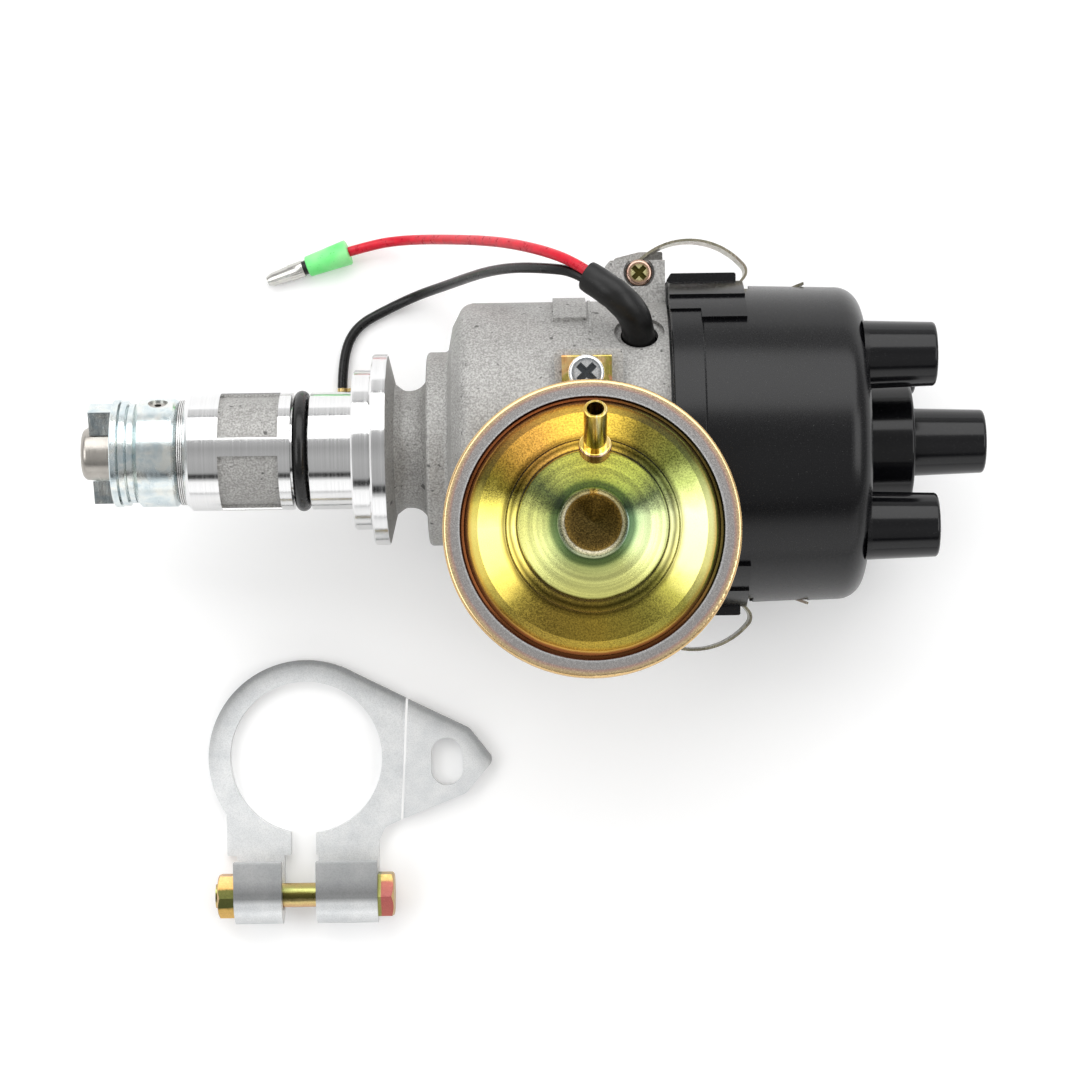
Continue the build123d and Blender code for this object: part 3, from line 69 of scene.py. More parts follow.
# Leads: the routes of the sleeve and the two wires, and how the wires leave the sleeve's end
SLEEVE_ROUTE = (
    (65.0, 22.6, 20.4), (64.6, 27.4, 25.2), (60.9, 31.6, 28.0), (57.2, 34.4, 27.8), (53.6, 37.0, 26.2),
)
WIRE_PAIR_OFFSET = (0.18, 0.8, 0.89)
WIRE_END_GAP = 0.1
RED_ROUTE = (
    (50.7, 40.0, 25.7), (45.3, 42.8, 21.0), (37.2, 45.9, 10.6), (29.6, 48.1, -2.6), (22.4, 49.7, -15.6),
    (15.4, 50.9, -26.2), (9.2, 51.2, -31.4), (3.7, 50.6, -32.7), (-2.8, 48.9, -33.3),
)
BLACK_ROUTE = (
    (50.4, 38.3, 24.0), (45.0, 39.4, 19.6), (37.6, 40.6, 10.0), (31.2, 40.9, -2.0), (25.6, 40.4, -14.4),
    (20.2, 39.6, -25.4), (13.8, 38.3, -33.6), (6.4, 35.2, -35.6), (-1.6, 31.0, -35.6), (-4.8, 23.8, -35.6),
    (-5.0, 16.2, -35.6),
)
WIRE_RADIUS = 1.2

# Sleeve: how flat its open end is pressed and from what share of its length, how high its ridges are and how
# far its lip turns in, and the mouth and bore inside the lip as shares of the radius
SLEEVE_RADIUS = 3.6
SLEEVE_SIDES = 40
SLEEVE_PRESS, SLEEVE_PRESS_START = 0.20, 0.35
SLEEVE_RIDGE, SLEEVE_LIP = 0.03, 0.12
MOUTH_SHARES, BORE_SHARE, BORE_STEPS = (0.92, 0.82), 0.78, 5

# Seal on the shank, free of its bore
SEAL_X, SEAL_CENTRE_RADIUS, SEAL_SECTION_RADIUS = -11.875, 12.15, 1.72

# Bullet terminal, as (radius, distance along it): its slit shell, and the neck in its foot
BULLET_DIRECTION = (-0.944, -0.316, -0.093)
BULLET_PROFILE = (
    (1.55, 11.7), (2.0, 11.75), (2.02, 15.2), (1.86, 15.5), (1.62, 19.6), (1.15, 21.0), (0.75, 21.0),
    (1.25, 19.6), (1.5, 15.4), (1.55, 12.2),
)
BULLET_HALVES = ((6, 174), (186, 354))
NECK_PROFILE = ((0.9, 10.5), (1.75, 10.6), (1.7, 11.6), (1.45, 11.9), (1.4, 17.8), (0.9, 17.8))

# Casting and cap: where turned metal ends, the rough windows in the shank, and where the gloss starts
TURNED_END_X = 8.0
WINDOW_X = (-30.3, -16.7)
WINDOW_RADIUS = 13.25
CAP_FACE_X = 115.8

# Cross recessed screws, as (centre, head radius), and their recess as shares of that radius
PIVOT_SCREW_TOP, PIVOT_SCREW_BOTTOM = ((65.6, 39.2), 3.05), ((65.6, -39.2), 3.05)
BRACKET_SCREW = ((52.9, 15.1), 4.0)
CROSS_LENGTH, CROSS_HALF = 0.62, 0.19

# Vacuum unit: its place, tilt and radius, and the edges of its forms as shares of that radius
CANISTER_PLACE = (53.5, -18.9, 45.0)
CANISTER_TILT = math.radians(-5.0)
CANISTER_RADIUS = 32.2
BOSS_SHARE, CONE_START_SHARE, CONE_SHARE, RING_SHARE = 0.225, 0.24, 0.49, 0.62
WALL_SHARE, RIDGE_SHARE, RIM_SHARE = 0.826, 0.84, 0.882

# Clamp: its bore's axis, its outer radius, its arm's upper edges as (outward normal, distance), the painted
# shade along its edge, the painted light and shade round its ears, and the painted highlight on the crease
# of its arm
CLAMP_PLACE = (-15.0, -73.0)
CLAMP_RADIUS = 23.5
CLAMP_EDGES = (((0.4437, 0.8962), 23.44), ((0.79, 0.613), 35.25))
CLAMP_ARM = 10.4
CLAMP_EDGE_DEPTH, CLAMP_SHADE_FROM, CLAMP_SHADE_RISE = 5.0, -6.0, 22.0
CLAMP_EAR_TOP, CLAMP_EAR_HEIGHT, CLAMP_EAR_Z = -23.6, 15.8, -29.0
CREASE_PLACE, CREASE_SLOPE, CREASE_HALF = (24.6, 13.5), 0.0552, 0.26

# Bolt and nut: the line they lie on, half their width, where the head starts, how wide its face is, and the
# colour of their ends
BOLT_Y, BOLT_HALF = -105.6, 5.0
HEAD_X, HEAD_EDGE = 2.3, 0.8
END_GOLD = (0.58, 0.40, 0.19)

# Nozzle: its lean, and the height along it up to which its foot is pink
NOZZLE_TILT = math.radians(38.0)
NOZZLE_FOOT = 52.85


def added(name, data):
    """Object with that data, linked to the scene."""
    made = bpy.data.objects.new(name, data)
    bpy.context.scene.collection.objects.link(made)
    return made


def fill_ramp(node, stops):
    """Set a colour ramp's stops, each a place with a colour or a grey."""
    elements = node.color_ramp.elements
    for index, (place, color) in enumerate(stops):
        if index < 2:
            element = elements[index]
            element.position = place
        else:
            element = elements.new(place)
        value = color if isinstance(color, tuple) else (color,) * 3
        element.color = (*value, 1.0)


# Camera

def add_camera():
    data = bpy.data.cameras.new("camera")
    data.lens = CAMERA_LENS
    data.sensor_width = 36.0
    data.sensor_fit = "HORIZONTAL"
    data.clip_end = 50.0
    camera = added("camera", data)
    camera.location = Vector((CAMERA_X, CAMERA_Y, CAMERA_HEIGHT)) * MM
    camera.rotation_euler = (0.0, 0.0, CAMERA_ROLL)
    bpy.context.scene.camera = camera


add_camera()


# Leads

def wire_start(side):
    """Where a wire leaves the sleeve's end, on one side of the pair's middle."""
    end = Vector(SLEEVE_ROUTE[-1])
    onward = (end - Vector(SLEEVE_ROUTE[-2])).normalized()
    return tuple(end + Vector(WIRE_PAIR_OFFSET) * side + onward * WIRE_END_GAP)


def route_curve(name, route, resolution):
    """Curve of one open NURBS spline that has the route's points as its control points."""
    curve = bpy.data.curves.new(name, "CURVE")
    curve.dimensions = "3D"
    spline = curve.splines.new("NURBS")
    spline.points.add(len(route) - 1)
    for point, place in zip(spline.points, route):
        point.co = (*(Vector(place) * MM), 1.0)
    spline.order_u = 3
    spline.use_endpoint_u = True
    spline.resolution_u = resolution
    return curve


def wire_tube(name, route):
    """A smooth wire along a route."""
    curve = route_curve(name, route, 24)
    curve.bevel_depth = WIRE_RADIUS * MM
    curve.bevel_resolution = 8
    curve.use_fill_caps = True
    return added(name, curve)


red_wire = wire_tube("red_lead", (wire_start(1), *RED_ROUTE))
black_wire = wire_tube("black_lead", (wire_start(-1), *BLACK_ROUTE))


# Lights, studio and floor


def area_light(name, place, size, radiance):
    """A flat soft light of that radiance, facing the part."""
    data = bpy.data.lights.new(name, "AREA")
    data.shape = "RECTANGLE"
    data.size, data.size_y = size
    data.energy = radiance * math.pi * size[0] * size[1]
    lamp = added(name, data)
    lamp.location = place
    lamp.rotation_euler = (Vector(place) - Vector(AIM)).to_track_quat("Z", "X").to_euler()


area_light("main_softbox", (0.1, 1.08, 1.04), (1.3, 2.4), 2.2)
area_light("side_softbox", (0.1, -1.4, 0.42), (0.7, 2.4), 0.5)
area_light("left_panel", (-0.95, -0.02, 1.15), (0.8, 1.0), 2.3)
area_light("right_panel", (1.05, -0.02, 1.15), (0.8, 1.0), 2.3)


def setup_world():
    """White to the camera; for the rest a pale studio, banded by the angle across the shaft."""
    world = bpy.data.worlds.new("studio")
    bpy.context.scene.world = world
    world.use_nodes = True
    tree = world.node_tree
    tree.nodes.clear()
    out = tree.nodes.new("ShaderNodeOutputWorld")
    light_path = tree.nodes.new("ShaderNodeLightPath")
    coords = tree.nodes.new("ShaderNodeTexCoord")
    split = tree.nodes.new("ShaderNodeSeparateXYZ")
    tree.links.new(coords.outputs["Generated"], split.inputs[0])
    angle = tree.nodes.new("ShaderNodeMath")
    angle.operation = "ARCTAN2"
    tree.links.new(split.outputs["Y"], angle.inputs[0])
    tree.links.new(split.outputs["Z"], angle.inputs[1])
    share = tree.nodes.new("ShaderNodeMapRange")
    share.inputs["From Min"].default_value = -math.pi / 2
    share.inputs["From Max"].default_value = math.pi / 2
    tree.links.new(angle.outputs[0], share.inputs["Value"])
    ramp = tree.nodes.new("ShaderNodeValToRGB")
    fill_ramp(ramp, [((degrees + 90) / 180, value) for degrees, value in STUDIO_BANDS])
    tree.links.new(share.outputs[0], ramp.inputs["Fac"])
    studio = tree.nodes.new("ShaderNodeBackground")
    studio.inputs["Strength"].default_value = 1.0
    tree.links.new(ramp.outputs["Color"], studio.inputs["Color"])
    white = tree.nodes.new("ShaderNodeBackground")
    white.inputs["Color"].default_value = (1, 1, 1, 1)
    mix = tree.nodes.new("ShaderNodeMixShader")
    tree.links.new(light_path.outputs["Is Camera Ray"], mix.inputs["Fac"])
    tree.links.new(studio.outputs[0], mix.inputs[1])
    tree.links.new(white.outputs[0], mix.inputs[2])
    tree.links.new(mix.outputs[0], out.inputs["Surface"])


setup_world()


def add_floor():
    """White floor that keeps the shadows near the part and is plain white far from it."""
    corners = [(x * FLOOR_HALF, y * FLOOR_HALF, 0.0) for x, y in ((-1, -1), (1, -1), (1, 1), (-1, 1))]
    mesh = bpy.data.meshes.new("floor")
    mesh.from_pydata(corners, [], [(0, 1, 2, 3)])
    floor = added("floor", mesh)
    floor.location = (*FLOOR_PLACE, SURFACE_Z * MM - FLOOR_DROP)
    surface = bpy.data.materials.new("floor_white")
    surface.use_nodes = True
    shader = surface.node_tree.nodes["Principled BSDF"]
    shader.inputs["Base Color"].default_value = (0.94, 0.94, 0.94, 1)
    shader.inputs["Roughness"].default_value = 0.9
    shader.inputs["Specular IOR Level"].default_value = 0.1
    shader.inputs["Emission Color"].default_value = (1, 1, 1, 1)
    nodes, links = surface.node_tree.nodes, surface.node_tree.links
    seen = nodes.new("ShaderNodeLightPath")
    place = nodes.new("ShaderNodeTexCoord")
    reach = nodes.new("ShaderNodeVectorMath")
    reach.operation = "LENGTH"
    links.new(place.outputs["Object"], reach.inputs[0])
    fade = nodes.new("ShaderNodeMapRange")
    fade_range = (*FLOOR_FADE, FLOOR_LIFT, 1.0)
    for socket, value in zip(("From Min", "From Max", "To Min", "To Max"), fade_range):
        fade.inputs[socket].default_value = value
    links.new(reach.outputs["Value"], fade.inputs["Value"])
    lift = nodes.new("ShaderNodeMath")
    lift.operation = "MULTIPLY"
    links.new(fade.outputs["Result"], lift.inputs[1])
    links.new(seen.outputs["Is Camera Ray"], lift.inputs[0])
    links.new(lift.outputs[0], shader.inputs["Emission Strength"])
    floor.data.materials.append(surface)


add_floor()


# Materials

class Look:
    """A procedural material: a principled shader with the node chains that feed it."""

    def __init__(self, name, color, roughness, metallic, **settings):
        self.material = bpy.data.materials.new(name)
        self.material.use_nodes = True
        self.tree = self.material.node_tree
        self.shader = self.tree.nodes["Principled BSDF"]
        self.set("Base Color", (*color, 1.0))
        self.set("Roughness", roughness)
        self.set("Metallic", metallic)
        for key, value in settings.items():
            self.set(key.replace("_", " "), value)
        self.place = self.tree.nodes.new("ShaderNodeTexCoord").outputs["Object"]

    def set(self, socket, value):
        self.shader.inputs[socket].default_value = value

    def link(self, source, target):
        self.tree.links.new(source, target)

    def node(self, kind, **settings):
        made = self.tree.nodes.new(kind)
        for key, value in settings.items():
            setattr(made, key, value)
        return made

    def mapped(self, scale):
        """The object's own coordinates, scaled along its axes."""
        mapping = self.node("ShaderNodeMapping")
        mapping.inputs["Scale"].default_value = scale
        self.link(self.place, mapping.inputs["Vector"])
        return mapping.outputs["Vector"]

    def noise(self, scale, detail=3.0, rough=0.6, stretch=(1, 1, 1), distortion=0.0):
        """Noise in the object's own space; a stretch under 1 draws it out along that axis."""
        made = self.node("ShaderNodeTexNoise")
        made.inputs["Scale"].default_value = scale
        made.inputs["Detail"].default_value = detail
        made.inputs["Roughness"].default_value = rough
        made.inputs["Distortion"].default_value = distortion
        self.link(self.mapped(stretch), made.inputs["Vector"])
        return made.outputs["Fac"]

    def ramp(self, source, stops):
        made = self.node("ShaderNodeValToRGB")
        fill_ramp(made, stops)
        self.link(source, made.inputs["Fac"])
        return made.outputs["Color"]

    def mix(self, amount, first, second, blend="MIX"):
        """Blend of two colours, greys or sockets."""
        made = self.node("ShaderNodeMix", data_type="RGBA", blend_type=blend)
        for index, value in ((0, amount), (6, first), (7, second)):
            socket = made.inputs[index]
            if isinstance(value, tuple):
                socket.default_value = (*value, 1.0)
            elif not isinstance(value, (int, float)):
                self.link(value, socket)
            elif index == 0:
                socket.default_value = value
            else:
                socket.default_value = (value, value, value, 1.0)
        return made.outputs[2]

    def math(self, operation, first, second=0.0, third=None):
        """One step of arithmetic on numbers or sockets."""
        made = self.node("ShaderNodeMath", operation=operation)
        for socket, value in zip(made.inputs, (first, second, third)):
            if value is None:
                continue
            if isinstance(value, (int, float)):
                socket.default_value = value
            else:
                self.link(value, socket)
        return made.outputs[0]

    def reach(self, first, second):
        """Distance from the origin of the two coordinates."""
        squares = [self.math("MULTIPLY", value, value) for value in (first, second)]
        return self.math("POWER", self.math("ADD", *squares), 0.5)

    def between(self, source, low, high):
        """1 where the source lies between the two, else 0."""
        return self.math(
            "MULTIPLY", self.math("GREATER_THAN", source, low), self.math("LESS_THAN", source, high)
        )

    def color(self, source):
        self.link(source, self.shader.inputs["Base Color"])

    def roughness(self, source):
        self.link(source, self.shader.inputs["Roughness"])

    def metal(self, source):
        self.link(source, self.shader.inputs["Metallic"])

    def bump(self, source, strength, distance):
        made = self.node("ShaderNodeBump")
        made.inputs["Strength"].default_value = strength
        made.inputs["Distance"].default_value = distance
        self.link(source, made.inputs["Height"])
        self.link(made.outputs["Normal"], self.shader.inputs["Normal"])

    def axes(self):
        split = self.node("ShaderNodeSeparateXYZ")
        self.link(self.place, split.inputs[0])
        return split.outputs


def shade(color, factor):
    """The colour made darker or lighter by a factor."""
    return tuple(min(1.0, value * factor) for value in color)


def cast_and_turned():
    """Speckled casting, with bright turned metal on the shank, ring and flange."""
    look = Look("cast_aluminium", (0.42, 0.42, 0.40), 0.55, 0.3)
    x, y, z = look.axes()
    in_window = look.math("LESS_THAN", look.reach(y, z), WINDOW_RADIUS * MM)
    window = look.math("MULTIPLY", look.between(x, WINDOW_X[0] * MM, WINDOW_X[1] * MM), in_window)
    before_end = look.math("LESS_THAN", x, TURNED_END_X * MM)
    turned = look.math("MULTIPLY", before_end, look.math("SUBTRACT", 1.0, window))
    grain = look.noise(2300.0, 2.5, 0.6)
    cloud = look.noise(160.0, 4.0)
    cast = look.ramp(grain, (
        (0.34, (0.20, 0.195, 0.185)), (0.5, (0.36, 0.355, 0.34)), (0.64, (0.58, 0.575, 0.56)),
    ))
    cast = look.mix(0.35, cast, look.ramp(cloud, ((0.3, (0.29, 0.285, 0.275)), (0.7, (0.42, 0.415, 0.405)))))
    pits = look.ramp(look.noise(620.0, 1.0, 0.4), ((0.24, 0.35), (0.29, 1.0)))
    cast = look.mix(1.0, cast, pits, "MULTIPLY")
    lines = look.noise(2600.0, 3.0, 0.7, (1, 0.004, 0.004))
    bright = look.ramp(lines, ((0.3, (0.74, 0.74, 0.74)), (0.7, (0.84, 0.84, 0.84))))
    look.color(look.mix(turned, cast, bright))
    look.metal(look.math("MULTIPLY_ADD", turned, 0.55, 0.45))
    cast_rough = look.ramp(grain, ((0.3, 0.5), (0.7, 0.66)))
    turned_rough = look.ramp(lines, ((0.3, 0.08), (0.7, 0.20)))
    look.roughness(look.mix(turned, cast_rough, turned_rough))
    height = look.mix(turned, grain, look.math("MULTIPLY", lines, 0.05))
    look.bump(height, 0.65, 0.00014)
    return look.material


def brushed(name, color, rough):
    """Metal turned about the shaft's axis: fine lines round it in colour, gloss and relief."""
    look = Look(name, color, rough, 1.0)
    lines = look.noise(2600.0, 3.0, 0.7, (1, 0.01, 0.01))
    cloud = look.noise(240.0, 4.0)
    dark, light = shade(color, 0.9), shade(color, 1.1)
    base = look.ramp(cloud, ((0.3, dark), (0.7, light)))
    look.color(look.mix(0.25, base, look.ramp(lines, ((0.3, dark), (0.7, light))), "MULTIPLY"))
    look.roughness(look.ramp(lines, ((0.25, rough * 0.7), (0.75, min(1.0, rough * 1.35)))))
    look.bump(lines, 0.08, 0.00005)
    return look.material


def plated(name, tints, rough, frost, scale=210.0, metallic=1.0):
    """Plated metal: drifting tints, a frosty grain and faint scuffs."""
    look = Look(name, tints[0], rough, metallic)
    drift = look.noise(scale, 2.0, 0.5, distortion=0.6)
    steps = [(0.34 + 0.34 * index / (len(tints) - 1), tint) for index, tint in enumerate(tints)]
    grain = look.noise(4200.0, 2.0, 0.6)
    speck = look.ramp(grain, ((0.3, 1 - frost), (0.6, 1.0)))
    look.color(look.mix(1.0, look.ramp(drift, steps), speck, "MULTIPLY"))
    scuff = look.noise(900.0, 4.0, 0.7, (1, 0.15, 0.4))
    look.roughness(look.ramp(scuff, ((0.35, rough * 0.8), (0.65, min(1.0, rough * 1.3)))))
    look.bump(grain, 0.12 + frost * 0.4, 0.00008)
    return look.material


def cross_screw(name, head, rings, recess):
    """Screw head seen along Z: ringed tints from its middle out, and painted shade in its cross recess."""
    centre, radius = head
    look = Look(name, rings[0][1], 0.24, 1.0)
    x, y = look.axes()[:2]
    across = look.math("SUBTRACT", x, centre[0] * MM)
    up = look.math("SUBTRACT", y, centre[1] * MM)
    share = look.math("DIVIDE", look.reach(across, up), radius * MM)
    wobble = look.math("MULTIPLY_ADD", look.noise(700.0), 0.16, -0.08)
    base = look.ramp(look.math("ADD", share, wobble), rings)
    one, other = (
        look.math("ABSOLUTE", look.math("MULTIPLY", look.math(operation, across, up), math.sqrt(0.5)))
        for operation in ("ADD", "SUBTRACT")
    )
    length, half = CROSS_LENGTH * radius * MM, CROSS_HALF * radius * MM
    first = look.math("MULTIPLY", look.math("LESS_THAN", one, length), look.math("LESS_THAN", other, half))
    second = look.math("MULTIPLY", look.math("LESS_THAN", other, length), look.math("LESS_THAN", one, half))
    # Painted shade fills the cross recess.
    look.color(look.mix(look.math("MAXIMUM", first, second), base, recess))
    look.roughness(look.ramp(look.noise(2400.0), ((0.3, 0.18), (0.7, 0.32))))
    look.bump(look.noise(2600.0), 0.12, 0.00008)
    return look.material


def clamp_zinc():
    """Zinc plated clamp, with painted shade on its sheared upper edge, painted light and shade round its
    ears and a painted highlight along its crease.
    """
    look = Look("clamp_zinc", (0.84, 0.86, 0.86), 0.42, 0.35)
    x, y, z = look.axes()
    across = look.math("SUBTRACT", x, CLAMP_PLACE[0] * MM)
    up = look.math("SUBTRACT", y, CLAMP_PLACE[1] * MM)

    def inside(normal, distance):
        parts = [look.math("MULTIPLY", *pair) for pair in zip((across, up), normal)]
        return look.math("SUBTRACT", distance * MM, look.math("ADD", *parts))

    rim = look.math("SUBTRACT", CLAMP_RADIUS * MM, look.reach(across, up))
    on_arm = look.math("GREATER_THAN", across, CLAMP_ARM * MM)
    rim = look.math("ADD", rim, on_arm)
    edges = [inside(normal, distance) for normal, distance in CLAMP_EDGES]
    inset = look.math("MINIMUM", rim, look.math("MINIMUM", *edges))
    inset = look.math("ADD", inset, look.math("MULTIPLY_ADD", look.noise(900.0), 0.0006, -0.0003))
    # Painted shade near the sheared edges, full on the upper part and fading out toward the bottom.
    depth = look.math("DIVIDE", inset, CLAMP_EDGE_DEPTH * MM)
    edge_shade = look.ramp(depth, ((0.0, 0.34), (0.16, 0.40), (0.34, 0.66), (0.7, 0.88), (1.0, 1.0)))
    height = look.math("DIVIDE", look.math("SUBTRACT", up, CLAMP_SHADE_FROM * MM), CLAMP_SHADE_RISE * MM)
    upper = look.math("MINIMUM", look.math("MAXIMUM", height, look.math("MULTIPLY", on_arm, 0.9)), 1.0)
    shade = look.mix(look.math("MAXIMUM", upper, 0.0), (1.0, 1.0, 1.0), edge_shade)
    # Painted light and shade across the curled ears: dark and bright bands up their height.
    ear = look.math("DIVIDE", look.math("SUBTRACT", CLAMP_EAR_TOP * MM, up), CLAMP_EAR_HEIGHT * MM)
    above_plate = look.math("GREATER_THAN", z, CLAMP_EAR_Z * MM)
    on_ear = look.math("MULTIPLY", look.math("GREATER_THAN", ear, 0.0), above_plate)
    ear_shade = look.ramp(ear, (
        (0.0, 0.78), (0.06, 0.50), (0.3, 0.44), (0.5, 0.27), (0.58, 0.30), (0.66, 0.85), (0.8, 1.0),
        (1.0, 0.75),
    ))
    shade = look.mix(on_ear, shade, ear_shade)
    cloud = look.ramp(look.noise(150.0, 3.0), ((0.34, (0.78, 0.80, 0.81)), (0.68, (0.92, 0.93, 0.93))))
    speck = look.ramp(look.noise(3600.0, 2.0, 0.6), ((0.3, 0.84), (0.6, 1.0)))
    base = look.mix(1.0, look.mix(1.0, cloud, speck, "MULTIPLY"), shade, "MULTIPLY")
    # Painted highlight: a thin white, non-metal line along the crease.
    crease_foot = CREASE_PLACE[0] - CREASE_SLOPE * CREASE_PLACE[1]
    lean = look.math("MULTIPLY_ADD", up, CREASE_SLOPE, crease_foot * MM)
    off_crease = look.math("ABSOLUTE", look.math("SUBTRACT", across, lean))
    crease = look.math("LESS_THAN", off_crease, CREASE_HALF * MM)
    look.color(look.mix(crease, base, (1.0, 1.0, 1.0)))
    look.metal(look.mix(crease, 0.35, 0.0))
    look.roughness(look.ramp(look.noise(1400.0, 3.0), ((0.3, 0.34), (0.7, 0.48))))
    look.bump(look.noise(3000.0, 2.0, 0.6), 0.2, 0.00006)
    return look.material


def banded_gold(name, bands, head=None):
    """Yellow passivate in bands across a bolt or nut, with other bands on a head and painted shade in the
    dark middle bands; plain at its ends.
    """
    look = Look(name, bands[0][1], 0.30, 1.0)
    x, y = look.axes()[:2]
    up = look.math("SUBTRACT", y, BOLT_Y * MM)
    share = look.math("MULTIPLY_ADD", look.math("DIVIDE", up, BOLT_HALF * MM), 0.5, 0.5)
    share = look.math("ADD", share, look.math("MULTIPLY_ADD", look.noise(500.0), 0.10, -0.05))
    # The bands mix plating tints with painted shade: the dark middle bands stand for the dark faces seen
    # from above.
    tint = look.ramp(share, bands)
    if head:
        tint = look.mix(look.math("GREATER_THAN", x, HEAD_X * MM), tint, look.ramp(share, head))
        edge = look.between(x, HEAD_X * MM, (HEAD_X + HEAD_EDGE) * MM)
        tint = look.mix(edge, tint, (0.30, 0.30, 0.10))
    facing = look.node("ShaderNodeSeparateXYZ")
    look.link(look.place.node.outputs["Normal"], facing.inputs[0])
    on_end = look.math("GREATER_THAN", look.math("ABSOLUTE", facing.outputs["X"]), 0.8)
    tint = look.mix(on_end, tint, END_GOLD)
    speck = look.ramp(look.noise(4000.0, 2.0, 0.6), ((0.3, 0.8), (0.6, 1.0)))
    look.color(look.mix(1.0, tint, speck, "MULTIPLY"))
    look.roughness(look.ramp(look.noise(1500.0), ((0.3, 0.26), (0.7, 0.40))))
    look.bump(look.noise(2600.0), 0.12, 0.00006)
    return look.material


def washers_with_lines():
    """Stacked washers on the shaft: bright edges with dark lines between them."""
    look = Look("washer_steel", (0.7, 0.7, 0.69), 0.25, 1.0)
    wave = look.node("ShaderNodeTexWave", wave_type="BANDS", bands_direction="X", wave_profile="SIN")
    wave.inputs["Scale"].default_value = 720.0
    wave.inputs["Distortion"].default_value = 0.0
    look.link(look.place, wave.inputs["Vector"])
    look.color(look.ramp(wave.outputs["Fac"], ((0.25, (0.10, 0.10, 0.10)), (0.5, (0.74, 0.74, 0.73)))))
    look.roughness(look.ramp(look.noise(1800.0), ((0.3, 0.2), (0.7, 0.34))))
    look.bump(wave.outputs["Fac"], 0.3, 0.0001)
    return look.material


